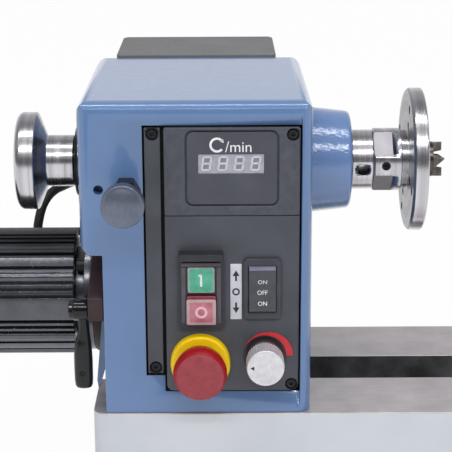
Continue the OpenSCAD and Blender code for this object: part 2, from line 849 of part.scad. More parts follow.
module grub_spots() {
    for (a = [180, 270]) rotate([0, 0, a]) translate([0, nose_d / 2, nose_x + grub_x]) rotate([-90, 0, 0])
        children();
}

module plate_hole_ring(d) {
    turn = 20;
    for (i = [0:plate_holes - 1]) rotate([0, 0, turn + 360 * i / plate_holes])
        translate([d / 2, 0, 0]) children();
}

module faceplate() {
    r = plate_d / 2;
    c = plate_chamfer;
    flat_len = 15;
    flat_r = hub_d / 2 - 2.6;
    color(steel) on_axis() difference() {
        turned([
            [nose_d / 2 + seat_gap, nose_x], [hub_d / 2 - 1, nose_x], [hub_d / 2, nose_x + 1],
            [hub_d / 2, nose_x + hub_len], [neck_d / 2, nose_x + hub_len], [neck_d / 2, plate_x],
            [r - c, plate_x], [r, plate_x + c], [r, face_x - 1], [r - 1, face_x],
            [nose_d / 2 + 3, face_x], [nose_d / 2 + seat_gap, face_x - 3]
        ]);
        plate_hole_ring(inner_ring_d) bar(plate_hole_d, plate_x - 1, face_x + 1);
        plate_hole_ring(outer_ring_d) bar(plate_hole_d, plate_x - 1, face_x + 1);
        for (a = [45, 135, 225, 315]) rotate([0, 0, a])
            translate([flat_r, -hub_d / 2, nose_x - 1]) cube([hub_d, hub_d, flat_len + 1]);
        grub_spots() translate([0, 0, -1]) cylinder(d = grub_d + 2 * seat_gap, h = hub_d / 2);
    }
}

module faceplate_screws() {
    length = (hub_d - nose_d) / 2 - 2.5;
    color(black) on_axis() grub_spots() difference() {
        translate([0, 0, seat_gap]) cylinder(d = grub_d, h = length);
        translate([0, 0, length - 3]) cylinder(d = grub_d * 0.5, h = 4, $fn = 6);
    }
}

module spur_centre() {
    head_start = nose_x + nose_len + 1;
    base = face_x + spur_out - prong_len;
    tip = face_x + spur_out + point_out;
    shank_end = nose_x + nose_len - taper_len + 4;
    r = spur_d / 2;
    pin_r = 4;
    in_r = pin_r + 2.5;
    color(grey) on_axis() {
        turned([
            [0, shank_end], [taper_end_d / 2, shank_end], [taper_d / 2 - seat_gap, nose_x + nose_len],
            [taper_d / 2 - seat_gap, head_start], [r, head_start], [r, base], [pin_r, base], [pin_r, tip - 6],
            [0, tip]
        ]);
        for (a = [0, 90, 180, 270]) rotate([0, 0, a]) translate([in_r, 0, base]) rotate([90, 0, 90])
            linear_extrude(r - in_r - 0.6)
                polygon([[-prong_w / 2, -1], [prong_w / 2, -1], [prong_w / 2, 2],
                         [-prong_w / 2 + 0.8, prong_len], [-prong_w / 2, prong_len]]);
    }
}

// Belt drive

module grooved_pulley(d, bore) {
    r = d / 2;
    grooves = 8;
    pitch = 2.34;
    start = pulley_x + (pulley_w - grooves * pitch) / 2;
    turned(concat(
        [[bore / 2 + seat_gap, pulley_x], [r + flange_h, pulley_x], [r + flange_h, pulley_x + 2], [r, start]],
        [for (i = [0:grooves - 1]) each [[r - 1.6, start + (i + 0.5) * pitch], [r, start + (i + 1) * pitch]]],
        [[r + flange_h, pulley_end - 2], [r + flange_h, pulley_end], [bore / 2 + seat_gap, pulley_end]]));
}

module spindle_pulley() { color(iron) on_axis() grooved_pulley(big_pulley_d, journal_d); }
module motor_pulley() { color(iron) on_motor() grooved_pulley(small_pulley_d, motor_shaft_d); }

module index_ring() {
    mid = -plunger_off;
    r = index_ring_d / 2;
    color(iron) on_axis() difference() {
        bar(index_ring_d, mid - index_ring_w / 2, mid + index_ring_w / 2);
        bar(journal_d + 2 * seat_gap, mid - index_ring_w, mid + index_ring_w);
        for (i = [0:index_holes - 1]) rotate([0, 0, 360 * i / index_holes])
            translate([0, -r + index_depth, mid]) rotate([90, 0, 0])
                cylinder(d = plunger_d + 0.8, h = index_depth + 1, $fn = 24);
    }
}

module belt_outline(extra) {
    hull() {
        circle(d = big_pulley_d + 2 * extra);
        translate([shaft_gap, 0]) circle(d = small_pulley_d + 2 * extra);
    }
}

module belt() {
    color(black) on_axis() translate([0, 0, pulley_x + (pulley_w - belt_w) / 2]) linear_extrude(belt_w)
        difference() {
            belt_outline(belt_t + slip_gap);
            belt_outline(slip_gap);
        }
}

// Index plunger, its axis square to the casting's front

module on_plunger() {
    on_head() translate([-plunger_off, front_y, centre_h]) rotate([90, 0, 0]) children();
}

module plunger_body() {
    shank_in = head_wall + 5;
    color(black) on_plunger() difference() {
        union() {
            translate([0, 0, -shank_in]) cylinder(d = plunger_hex - 3 - 2 * seat_gap, h = shank_in + 1);
            cylinder(d = plunger_hex / cos(30), h = plunger_hex_len, $fn = 6);
            cylinder(d = plunger_sleeve_d, h = sleeve_end);
        }
        translate([0, 0, -shank_in - 1]) cylinder(d = plunger_d + 2 * run_gap, h = shank_in + sleeve_end + 2);
        translate([0, 0, -2]) cylinder(d = spring_bore_d, h = spring_end + 2);
    }
}

module plunger_spring() {
    color(steel) on_plunger() translate([0, 0, spring_end - spring_len]) difference() {
        cylinder(d = spring_bore_d - 2 * slip_gap, h = spring_len);
        translate([0, 0, -1]) cylinder(d = plunger_d + 2 * slip_gap, h = spring_len + 2);
    }
}

module plunger_pin() {
    tip = front_y + index_ring_d / 2 + ring_gap;
    color(steel) on_plunger() {
        translate([0, 0, tip]) cylinder(d = plunger_d, h = knob_back + plunger_knob_len * 0.6 - tip);
        translate([0, 0, spring_end - spring_len - plunger_collar])
            cylinder(d = spring_bore_d - 2 * run_gap, h = plunger_collar - slip_gap);
    }
}

module plunger_knob() {
    r = plunger_knob_d / 2;
    h = knob_back + plunger_knob_len;
    color(grey) on_plunger() difference() {
        turned([[0, knob_back], [r - 4, knob_back], [r - 1, knob_back + 4], [r, knob_back + 8],
                [r, h - 1.5], [r - 1.5, h], [0, h]]);
        translate([0, 0, knob_back - 1])
            cylinder(d = plunger_d + 2 * seat_gap, h = plunger_knob_len * 0.6 + 1 + seat_gap);
    }
}

// Motor group

module motor_bolt_spots() {
    for (a = [45, 135, 225, 315]) rotate([0, 0, a]) translate([motor_bolt_r, 0, 0]) children();
}

module motor_plate() {
    lug_r = pivot_d * 1.4;
    color(black) on_head() translate([motor_plate_x, 0, 0]) difference() {
        rotate([90, 0, 90]) linear_extrude(motor_plate_t) difference() {
            union() {
                translate([0, motor_z]) circle(d = disc_d);
                polygon([[0, motor_z + disc_d / 2], [-disc_d * 0.4, motor_z + disc_d / 2],
                         [-stud_off - ear_w / 2, ear_high], [-stud_off - ear_w / 2, ear_low],
                         [0, ear_low]]);
                translate([0, pivot_z - lug_r]) square([pivot_off, 2 * lug_r]);
                translate([pivot_off, pivot_z]) circle(r = lug_r);
            }
            translate([0, motor_z]) circle(d = motor_shaft_d + 12);
            translate([pivot_off, pivot_z]) circle(d = pivot_d + 2 * run_gap);
            translate([-stud_off, stud_z + 0.4]) circle(d = stud_slot_w);
            translate([-stud_off - stud_slot_w / 2, ear_low - 1])
                square([stud_slot_w, stud_z + 1.4 - ear_low]);
        }
        translate([0, 0, motor_z]) rotate([0, 90, 0]) motor_bolt_spots()
            bar(motor_bolt_d + 2 * seat_gap, -1, motor_plate_t + 1);
    }
}

module motor_pivot_bolt() {
    color(steel) on_head() translate([0, pivot_off, pivot_z]) rotate([0, 90, 0]) {
        bar(pivot_d, motor_plate_x - slip_gap, in_left);
        bar(pivot_d * 1.7, motor_plate_x - slip_gap - pivot_d * 0.6, motor_plate_x - slip_gap);
    }
}

module motor_front_bell() {
    neck_d_bell = bell_d - 26;
    color(black) on_motor() difference() {
        union() {
            bar(bell_d, motor_plate_x - bell_flange, motor_plate_x);
            bar(neck_d_bell, bell_x, motor_plate_x - bell_flange);
        }
        bar(motor_shaft_d + 2 * run_gap, bell_x - 1, motor_plate_x + 1);
        motor_bolt_spots()
            bar(motor_bolt_d + 2 * seat_gap, motor_plate_x - bell_flange - 1, motor_plate_x + 1);
        motor_bolt_spots() bar(motor_bolt_d * 1.9, bell_x - 1, motor_plate_x - bell_flange);
    }
}

module motor_bolts() {
    seat = motor_plate_x - bell_flange;
    color(steel) on_motor() motor_bolt_spots() {
        bar(motor_bolt_d, seat, motor_plate_x + motor_plate_t - 1);
        bar(motor_bolt_d * 1.7, seat - motor_bolt_d, seat);
    }
}

module fin_section() {
    r = motor_d / 2;
    rib_r = 4;
    grooves = [12, 18, 24, 38];
    difference() {
        union() {
            circle(r = r);
            for (q = [0:90:270], s = [-1, 1]) rotate(q + s * 30)
                translate([r - rib_r + 1.5, 0]) circle(r = rib_r);
        }
        for (q = [0:90:270], s = [-1, 1], g = grooves) rotate(q + s * g)
            translate([r - groove_depth, -groove_w / 2]) square([groove_depth + 4, groove_w]);
        circle(d = motor_shaft_d + 20);
    }
}

module motor_housing() {
    color(grey) on_motor() translate([0, 0, motor_x]) linear_extrude(motor_len) fin_section();
}

module motor_rear_bell() {
    r = motor_d / 2 - 1;
    end = motor_x - rear_bell_len;
    color(black) on_motor() difference() {
        turned(concat([[0, motor_x], [r, motor_x]], [[r, end + 8]],
                      [[r - 1.5, end + 4], [r - 4, end + 1.5], [r - 8, end], [0, end]]));
        bar(motor_shaft_d + 2 * run_gap, motor_x - 8, motor_x + 1);
        for (a = [0:30:330]) rotate([0, 0, a]) translate([r - 22, -2, end - 1]) cube([14, 4, 5]);
    }
}

module terminal_box() {
    wall = 3;
    color(black) on_head() difference() {
        span([terminal_x - terminal_len / 2, terminal_y, terminal_low],
             [terminal_x + terminal_len / 2, terminal_y + terminal_d, terminal_top]);
        span([terminal_x - terminal_len / 2 + wall, terminal_y + 13, terminal_low + wall],
             [terminal_x + terminal_len / 2 - wall, terminal_y + terminal_d - wall, terminal_top - wall]);
        translate([0, 0, motor_z]) rotate([0, 90, 0]) bar(motor_d + 2 * slip_gap, motor_x, bell_x);
        translate([lead_route[len(lead_route) - 1][0], lead_route[len(lead_route) - 1][1], terminal_top - 8])
            cylinder(d = lead_d + 2 * slip_gap, h = 10);
    }
}

// A cable gland: hexagon on the wall, round dome nut and a bore for the cable
module gland() {
    difference() {
        union() {
            cylinder(d = gland_d / cos(30), h = gland_len * 0.35, $fn = 6);
            translate([0, 0, gland_len * 0.35 - eps]) cylinder(d = gland_d, h = gland_len * 0.4);
            translate([0, 0, gland_len * 0.75 - 2 * eps])
                cylinder(d1 = gland_d, d2 = lead_d + 3, h = gland_len * 0.25);
        }
        translate([0, 0, -1]) cylinder(d = lead_d + 2 * slip_gap, h = gland_len + 2);
    }
}

module motor_gland() {
    last = lead_route[len(lead_route) - 1];
    color(black) on_head() translate([last[0], last[1], terminal_top]) gland();
}

module motor_shaft() {
    color(steel) on_motor() bar(motor_shaft_d, motor_x - 7, pulley_end);
}

module lock_stud() {
    length = lever_hub_len * 0.7;
    color(steel) on_head() translate([0, -stud_off, stud_z]) rotate([0, 90, 0]) {
        bar(pivot_d, lever_x - length, in_left - 2);
    }
}

module lock_lever() {
    arm_d = 9;
    arm_x = -arm_d / 2 - slip_gap;
    paddle_x = paddle_in - paddle_w / 2;
    toe_r = paddle_w / 3;
    neck_z = -lever_len / 4;
    color(black) on_head() translate([lever_x, -stud_off, stud_z]) difference() {
        union() {
            rotate([0, -90, 0]) cylinder(d = lever_hub_d, h = lever_hub_len);
            rotate([0, -90, 0]) translate([0, 0, lever_hub_len - eps])
                cylinder(d = lever_hub_d * 0.85, h = 3, $fn = 6);
            hull() {
                translate([arm_x, 0, -lever_hub_d * 0.3]) sphere(d = arm_d, $fn = 24);
                translate([arm_x, 0, neck_z]) sphere(d = arm_d, $fn = 24);
            }
            hull() {
                translate([arm_x, 0, neck_z]) sphere(d = arm_d, $fn = 24);
                for (s = [-1, 1])
                    translate([paddle_x + s * (paddle_w / 2 - toe_r), 0, toe_r - lever_len])
                        rotate([90, 0, 0]) {
                            cylinder(r = toe_r, h = paddle_t - 3, center = true, $fn = 32);
                            cylinder(r = toe_r - 1.5, h = paddle_t, center = true, $fn = 32);
                        }
                translate([paddle_x, 0, -lever_len / 2]) rotate([90, 0, 0])
                    cylinder(d = paddle_w - 1, h = paddle_t - 3, center = true, $fn = 32);
            }
        }
        rotate([0, -90, 0]) translate([0, 0, -1])
            cylinder(d = pivot_d + 2 * run_gap, h = lever_hub_len * 0.7 + 1 + slip_gap);
    }
}

module motor_lead() {
    gland_end = lead_route[len(lead_route) - 1];
    route = concat([[box_x - box_w / 2 + box_wall + 2, box_gland_y, box_gland_z]], lead_route,
                   [[gland_end[0], gland_end[1], terminal_top - 6]]);
    color(black) on_head() tube(route, lead_d / 2, lead_sides, [-1, 0, 0], [0, 0, -1]);
}

// Controller box behind the casting

module box_block(grow) {
    w = box_w + 2 * grow;
    translate([box_x, rear_y + box_d / 2, box_bottom - grow]) linear_extrude(box_h + 2 * grow)
        round_rect(w, box_d + 2 * grow, 4);
}

module lid_screw_spots() {
    for (sx = [-1, 1], sz = [8, box_h - 8])
        translate([box_x + sx * (box_w / 2 - 8), rear_y + box_d, box_bottom + sz])
            rotate([-90, 0, 0]) children();
}

module controller_box() {
    color("#848484") on_head() difference() {
        box_block(0);
        span([box_x - box_w / 2 + box_wall, rear_y + box_wall, box_bottom + box_wall],
             [box_x + box_w / 2 - box_wall, rear_y + box_d - 8, box_top - box_wall]);
        span([box_x - box_w / 2 + 14, rear_y + box_d - 10, box_bottom + 14],
             [box_x + box_w / 2 - 14, rear_y + box_d + 1, box_top - 14]);
        translate([box_x - box_w / 2 - 1, box_gland_y, box_gland_z]) rotate([0, 90, 0])
            cylinder(d = lead_d + 2 * slip_gap, h = box_wall + 2);
        translate([box_x + box_w / 4, rear_y + box_d / 2, box_bottom - 1])
            cylinder(d = lead_d + 2 * slip_gap, h = box_wall + 2);
        lid_screw_spots() translate([0, 0, -8]) cylinder(d = small_screw_d + 2 * seat_gap, h = 9);
    }
}

module controller_lid() {
    vents = 6;
    color("#848484") on_head() difference() {
        translate([box_x, rear_y + box_d, box_bottom + box_h / 2]) rotate([-90, 0, 0])
            linear_extrude(box_wall) round_rect(box_w, box_h, 4);
        lid_screw_spots() translate([0, 0, -1]) cylinder(d = small_hole_d, h = box_wall + 2);
        for (i = [0:vents - 1]) translate([box_x - 30, rear_y + box_d - 1, box_bottom + 30 + 10 * i])
            cube([60, box_wall + 2, 4]);
    }
}

module lid_screws() {
    color(black) on_head() lid_screw_spots() translate([0, 0, box_wall]) small_screw();
}

module box_gland() {
    color(black) on_head() translate([box_x - box_w / 2, box_gland_y, box_gland_z])
        rotate([0, -90, 0]) gland();
}

module mains_inlet() {
    color(black) on_head() translate([box_x + box_w / 4, rear_y + box_d / 2, box_bottom])
        rotate([180, 0, 0]) gland();
}

// Control panel, each piece built out from the plates' front face

module screw_counterbores() {
    for (s = panel_screw_spots) on_panel([s[0], s[1]]) {
        translate([0, 0, -panel_t - 1]) cylinder(d = screw_shank_d + 0.6, h = panel_t + 2);
        translate([0, 0, -panel_proud + s[2] - 4]) cylinder(d = panel_screw_d + 1.6, h = 6);
    }
}

module panel_strip() {
    h = panel_top - strip_bottom;
    color(grey) difference() {
        on_panel([-panel_left + strip_w / 2, strip_bottom + h / 2])
            translate([0, 0, -panel_t]) plate(strip_w, h, 1.5, pocket_d);
        screw_counterbores();
    }
}

module display_plate() {
    h = panel_top - plate_joint - 0.2;
    body_w = bezel_w - 12;
    body_h = bezel_h - 12;
    color(grey) difference() {
        on_panel([main_left + main_w / 2, plate_joint + 0.2 + h / 2])
            translate([0, 0, -panel_t]) plate(main_w, h, 1.5, panel_t);
        on_panel(display_mid) translate([0, 0, -panel_t - 1]) plate(body_w, body_h, 2, panel_t + 2);
        on_panel(display_mid) translate([0, 0, -bezel_sink - bezel_t])
            plate(bezel_w, bezel_h, bezel_r, bezel_sink + bezel_t + 1);
        screw_counterbores();
    }
}

module switch_plate() {
    h = plate_joint - 0.2 - panel_bottom;
    color(grey) difference() {
        on_panel([main_left + main_w / 2, panel_bottom + h / 2]) translate([0, 0, -panel_t])
            linear_extrude(panel_t) {
                round_rect(main_w, h, 5);
                translate([-main_w / 2, 0]) square([main_w, h / 2]);
            }
        on_panel(switch_mid) translate([0, 0, -panel_t - 1])
            plate(switch_w - 6 + 2 * slip_gap, switch_h - 6 + 2 * slip_gap, 1, panel_t + 2);
        on_panel(rocker_mid) translate([0, 0, -panel_t - 1])
            plate(rocker_bezel_w - 4 + 2 * slip_gap, rocker_bezel_h - 6 + 2 * slip_gap, 1, panel_t + 2);
        on_panel(estop_mid) translate([0, 0, -panel_t - 1])
            cylinder(d = estop_collar_d + 2 * slip_gap, h = panel_t + 2);
        on_panel(knob_mid) translate([0, 0, -panel_t - 1])
            cylinder(d = bush_d + 2 * slip_gap, h = panel_t + 2);
        screw_counterbores();
    }
}

module panel_screws() {
    color(black) for (s = panel_screw_spots) on_panel([s[0], s[1]]) {
        seat = -panel_proud + s[2] - 4;
        difference() {
            union() {
                translate([0, 0, -panel_t - head_wall / 2])
                    cylinder(d = screw_shank_d, h = seat + panel_t + head_wall / 2);
                translate([0, 0, seat]) cylinder(d = panel_screw_d, h = 3.4);
            }
            translate([0, 0, seat + 1.4]) cylinder(d = 3.4, h = 3, $fn = 6);
        }
    }
}

// Display

// The bezel lies in a shallow pocket of the display plate, with a groove all round
module display_bezel() {
    back = bezel_sink + bezel_t;
    color(grey) difference() {
        union() {
            on_panel(display_mid) translate([0, 0, -back])
                plate(bezel_w - 2 * bezel_gap, bezel_h - 2 * bezel_gap, bezel_r - bezel_gap, bezel_t);
            on_panel(display_mid) translate([0, 0, -panel_t])
                plate(bezel_w - 12 - 2 * slip_gap, bezel_h - 12 - 2 * slip_gap, 2, panel_t - back + eps);
        }
        on_panel(window_mid) translate([0, 0, -panel_t - 1]) plate(window_w, window_h, 0.8, panel_t + 2);
    }
}

module display_window() {
    color("#23262c") on_panel(window_mid) translate([0, 0, -panel_t])
        plate(window_w - 2 * seat_gap, window_h - 2 * seat_gap, 0.8, panel_t - bezel_sink - 0.6);
}

module display_board() {
    color("#2f5d3a") on_panel(display_mid) translate([0, 0, -panel_t - 1.6])
        plate(bezel_w - 14, bezel_h - 16, 1, 1.6);
}

// Push buttons

module button_shape(w, h, out) {
    translate([0, 0, -button_deep]) plate(w, h, 1.5, button_deep + switch_t + out);
}
module start_button() {
    color("#8dcabd") on_panel([switch_mid[0], start_z]) button_shape(start_w, start_h, button_out);
}
module stop_button() {
    color("#ad586f") on_panel([switch_mid[0], stop_z]) button_shape(stop_w, stop_h, stop_out);
}

module switch_housing() {
    deep = 30;
    room = button_deep + button_travel + 0.5;
    color(black) difference() {
        union() {
            on_panel(switch_mid) plate(switch_w, switch_h, 2, switch_t);
            on_panel(switch_mid) translate([0, 0, -deep]) plate(switch_w - 6, switch_h - 6, 1, deep + eps);
            on_panel([switch_mid[0], switch_mid[1] + switch_h / 2 + hood_h / 2 - hood_lap])
                plate(switch_w, hood_h, 1, hood_out);
        }
        on_panel([switch_mid[0], start_z]) translate([0, 0, -room])
            plate(start_w + 2 * slip_gap, start_h + 2 * slip_gap, 1.5, room + switch_t + 1);
        on_panel([switch_mid[0], stop_z]) translate([0, 0, -room])
            plate(stop_w + 2 * slip_gap, stop_h + 2 * slip_gap, 1.5, room + switch_t + 1);
    }
}

module label_plate() { color("#f2f2f2") on_panel(label_mid) plate(label_w, label_h, 0.6, 0.6); }

// Direction rocker

module rocker_bezel() {
    deep = 26;
    frame_t = 3;
    color(black) difference() {
        union() {
            on_panel(rocker_mid) plate(rocker_bezel_w, rocker_bezel_h, 3, frame_t);
            on_panel(rocker_mid) translate([0, 0, -deep])
                plate(rocker_bezel_w - 4, rocker_bezel_h - 6, 1, deep + eps);
        }
        on_panel(rocker_mid) translate([0, 0, rocker_axis]) rotate([0, 90, 0])
            cylinder(r = rocker_r + slip_gap, h = rocker_w + 2 * slip_gap, center = true);
    }
}

module rocker() {
    tip = 9;
    dip = 6;
    back = -6;
    color("#34363c") on_panel(rocker_mid) translate([-rocker_w / 2, 0, rocker_axis]) rotate([90, 0, 90])
        linear_extrude(rocker_w) intersection() {
            circle(r = rocker_r);
            polygon([[-rocker_r, tip], [-rocker_r * 0.75, tip], [0, dip], [rocker_r * 0.75, tip],
                     [rocker_r, tip], [rocker_r, back], [-rocker_r, back]]);
        }
}

// Emergency stop

module estop_ring() {
    r = ring_d / 2;
    color("#c9a80a") on_panel(estop_mid) difference() {
        union() {
            turned([[0, 0], [r, 0], [r, ring_h - 3], [r - 1, ring_h], [0, ring_h]]);
            translate([0, 0, -panel_t - 4]) cylinder(d = estop_collar_d, h = panel_t + 4 + eps);
        }
        translate([0, 0, -panel_t - 5]) cylinder(d = stem_d + 2 * run_gap, h = panel_t + ring_h + 6);
    }
}

module estop_block() {
    back = -panel_t - 4;
    color(black) on_panel(estop_mid) difference() {
        translate([0, 0, back - 30]) plate(30, 28, 2, 30);
        translate([0, 0, back - stop_travel - 4]) cylinder(d = stem_d + 2 * slip_gap, h = stop_travel + 5);
    }
}

module estop_stem() {
    color("#8c1420") on_panel(estop_mid) translate([0, 0, -panel_t - 7])
        cylinder(d = stem_d, h = panel_t + 7 + ring_h + head_gap + 4);
}

module estop_head() {
    r = mushroom_d / 2;
    low = ring_h + head_gap;
    color("#a01c28") on_panel(estop_mid) difference() {
        turned([[0, low], [r - 5, low], [r - 1.5, low + 5], [r, mushroom_h - 9], [r, mushroom_h - 5],
                [r - 1.2, mushroom_h - 2.4], [r - 5, mushroom_h - 0.6], [0, mushroom_h]]);
        translate([0, 0, low - 1]) cylinder(d = stem_d + 2 * run_gap, h = 5 + slip_gap);
    }
}

// Speed knob

module speed_scale() {
    color("#b02a30") on_panel(knob_mid) difference() {
        linear_extrude(scale_t) {
            circle(r = scale_r - scale_shift);
            intersection() {
                translate([scale_shift, 0]) circle(r = scale_r);
                translate([-scale_r, 0]) square([3 * scale_r, scale_r]);
            }
        }
        translate([0, 0, -1]) cylinder(d = bush_d + 2 * slip_gap, h = scale_t + 2);
    }
}

module speed_pot() {
    color(steel) on_panel(knob_mid) difference() {
        union() {
            translate([0, 0, -panel_t - 16]) cylinder(d = 24, h = 16);
            translate([0, 0, -panel_t - eps]) cylinder(d = bush_d, h = panel_t + scale_t + eps);
        }
        translate([0, 0, -panel_t - 12]) cylinder(d = knob_shaft_d + 2 * run_gap, h = panel_t + 20);
    }
}

module speed_knob() {
    r = knob_d / 2;
    base = scale_t + slip_gap;
    color("#cfced4") on_panel(knob_mid) {
        turned([[0, base], [r, base], [r, knob_h - 1.2], [r - 1.2, knob_h], [0, knob_h]]);
        translate([0, 0, -panel_t - 11]) cylinder(d = knob_shaft_d, h = panel_t + 11 + base + eps);
    }
}

bed();
headstock_casting();
hold_down_bolts();
belt_cover();
belt_cover_screws();
front_bearing();
rear_bearing();
rear_bearing_cap();
cap_screws();
spindle();
handwheel();
handwheel_screw();
faceplate();
faceplate_screws();
spur_centre();
spindle_pulley();
index_ring();
belt();
plunger_body();
plunger_spring();
plunger_pin();
plunger_knob();
motor_plate();
motor_pivot_bolt();
motor_front_bell();
motor_bolts();
motor_housing();
motor_rear_bell();
terminal_box();
motor_gland();
motor_shaft();
motor_pulley();
lock_stud();
lock_lever();
motor_lead();
controller_box();
controller_lid();
lid_screws();
box_gland();
mains_inlet();
panel_strip();
display_plate();
switch_plate();
panel_screws();
display_bezel();
display_window();
display_board();
switch_housing();
start_button();
stop_button();
label_plate();
rocker_bezel();
rocker();
estop_ring();
estop_block();
estop_stem();
estop_head();
speed_scale();
speed_pot();
speed_knob();
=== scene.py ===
"""Looks of the wood-lathe headstock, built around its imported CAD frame."""
import json
from math import asin, atan, atan2, copysign, cos, hypot, pi, radians, sin

import bmesh
import bpy
from mathutils import Matrix, Vector
from mathutils.geometry import delaunay_2d_cdt


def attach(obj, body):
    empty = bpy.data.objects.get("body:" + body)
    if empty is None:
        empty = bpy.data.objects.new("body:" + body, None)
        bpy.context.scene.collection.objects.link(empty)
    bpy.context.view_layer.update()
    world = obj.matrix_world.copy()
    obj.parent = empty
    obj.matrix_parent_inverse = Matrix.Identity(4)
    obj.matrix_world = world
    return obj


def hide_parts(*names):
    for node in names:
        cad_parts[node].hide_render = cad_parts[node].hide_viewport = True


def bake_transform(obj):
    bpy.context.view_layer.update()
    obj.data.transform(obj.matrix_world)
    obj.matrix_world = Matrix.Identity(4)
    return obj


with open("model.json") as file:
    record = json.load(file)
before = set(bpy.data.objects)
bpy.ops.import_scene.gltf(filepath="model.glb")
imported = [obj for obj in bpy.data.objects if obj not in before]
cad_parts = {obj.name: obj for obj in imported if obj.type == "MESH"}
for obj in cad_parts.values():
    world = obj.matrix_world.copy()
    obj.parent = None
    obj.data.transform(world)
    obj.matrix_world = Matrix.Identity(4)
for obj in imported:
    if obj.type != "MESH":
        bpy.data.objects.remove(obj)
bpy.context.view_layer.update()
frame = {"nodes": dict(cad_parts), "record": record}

MM = 0.001
HEAD = Vector((-77, 0, 70))        # the casting's foot, in mm from the frame's origin
SPINDLE_Z = 178                    # spindle axis above the ways
MOTOR_Z = 69                       # motor axis above the ways
PANEL_Y = -98.5                    # front face of the panel plates
FRONT_Y = -96                      # front face of the casting
AXIS = (0, 0, (HEAD.z + SPINDLE_Z) * MM)
SCENE = bpy.context.scene
IN_PLACE = Matrix.Identity(4)
TO_FRONT = Matrix.Rotation(pi / 2, 4, "X")     # turns a shape's z towards the operator
BODY_OF = {node: body for body, nodes in frame["record"]["behaviour"]["bodies"].items() for node in nodes}


def at(x, y, z):
    """Place a shape drawn in mm about a point of the casting."""
    return Matrix.Scale(MM, 4) @ Matrix.Translation(HEAD + Vector((x, y, z)))


def on_panel(spot, height=0):
    """Place a shape drawn flat, with x to the right, y up and z towards the operator."""
    return at(spot[0], PANEL_Y, spot[1]) @ TO_FRONT @ Matrix.Translation((0, 0, height))


def polar(radius, angle):
    """A flat point at an angle in degrees."""
    return radius * cos(radians(angle)), radius * sin(radians(angle))


# ---- finishes

NOISE_SPAN = (0.3, 0.7)                        # values that a noise texture mostly keeps within
FACTOR, NUMBER_A, NUMBER_B, COLOUR_A, COLOUR_B, COLOUR_OUT = 0, 2, 3, 6, 7, 2     # sockets of a Mix node


def linear(code):
    """A colour written as sRGB hex, in linear light."""
    parts = [int(code[i:i + 2], 16) / 255 for i in (1, 3, 5)]
    return [p / 12.92 if p <= 0.04045 else ((p + 0.055) / 1.055) ** 2.4 for p in parts] + [1]


def add(tree, kind, inputs=None, **settings):
    """A new node's outputs. An input given as a socket is linked, and any other is set."""
    node = tree.nodes.new("ShaderNode" + kind)
    for name, value in settings.items():
        setattr(node, name, value)
    for name, value in (inputs or {}).items():
        if isinstance(value, bpy.types.NodeSocket):
            tree.links.new(value, node.inputs[name])
        else:
            node.inputs[name].default_value = value
    return node.outputs


def new_finish(name, roughness, metallic=0.0, **sockets):
    """A material with its shader, and the object's own coordinates."""
    finish = bpy.data.materials.new(name)
    finish.use_nodes = True
    tree = finish.node_tree
    shader = tree.nodes["Principled BSDF"]
    shader.inputs["Roughness"].default_value = roughness
    shader.inputs["Metallic"].default_value = metallic
    for socket, value in sockets.items():
        shader.inputs[socket.replace("_", " ")].default_value = value
    return finish, tree, shader, add(tree, "TexCoord")["Object"]


def dress(tree, shader, pale, dark, slow, span, fine, rough, bump):
    """The end of each finish: a slow pattern mixes its colours, and a fine one sets gloss and relief."""
    tone = add(tree, "MapRange", {"Value": slow, "From Min": span[0], "From Max": span[1]})
    mix = add(tree, "Mix", {FACTOR: tone[0], COLOUR_A: linear(dark), COLOUR_B: linear(pale)}, data_type="RGBA")
    gloss = add(tree, "MapRange", {"Value": fine, "From Min": NOISE_SPAN[0], "From Max": NOISE_SPAN[1],
                                   "To Min": rough[0], "To Max": rough[1]})
    relief = add(tree, "Bump", {"Height": fine, "Strength": 1.0, "Distance": bump * MM})[0]
    tree.links.new(mix[COLOUR_OUT], shader.inputs["Base Color"])
    tree.links.new(gloss[0], shader.inputs["Roughness"])
    tree.links.new(relief, shader.inputs["Normal"])
    return relief


def moulded(name, pale, dark, grain, rough, bump, blotch, metallic=0.0, **sockets):
    """A painted or moulded skin: slow blotches of colour, a fine grain in bump and gloss. Sizes in mm."""
    finish, tree, shader, place = new_finish(name, rough[0], metallic, **sockets)
    slow = add(tree, "TexNoise", {"Vector": place, "Scale": 1 / (blotch * MM), "Detail": 4})
    fine = add(tree, "TexNoise", {"Vector": place, "Scale": 1 / (grain * MM), "Detail": 2})
    relief = dress(tree, shader, pale, dark, slow["Fac"], NOISE_SPAN, fine["Fac"], rough, bump)
    tree.links.new(relief, shader.inputs["Coat Normal"])
    return finish


def lathe_turned(name, pale, dark, lines, rough, bump):
    """Metal turned about the spindle's axis: fine rings follow the tool round. Sizes in mm."""
    finish, tree, shader, place = new_finish(name, rough[0], 1.0)
    centred = add(tree, "VectorMath", {0: place, 1: AXIS}, operation="SUBTRACT")[0]
    across = add(tree, "VectorMath", {0: centred, 1: (0, 1, 1)}, operation="MULTIPLY")[0]
    radius = add(tree, "VectorMath", {0: across}, operation="LENGTH")["Value"]
    along = add(tree, "SeparateXYZ", {0: centred})["X"]
    ring = add(tree, "CombineXYZ", {"X": along, "Y": radius})[0]
    marks = add(tree, "TexNoise", {"Vector": ring, "Scale": 1 / (lines * MM), "Detail": 4, "Roughness": 0.65})
    bands = add(tree, "TexNoise", {"Vector": ring, "Scale": 1 / (9 * lines * MM), "Detail": 2})
    dress(tree, shader, pale, dark, bands["Fac"], (0.35, 0.65), marks["Fac"], rough, bump)
    return finish


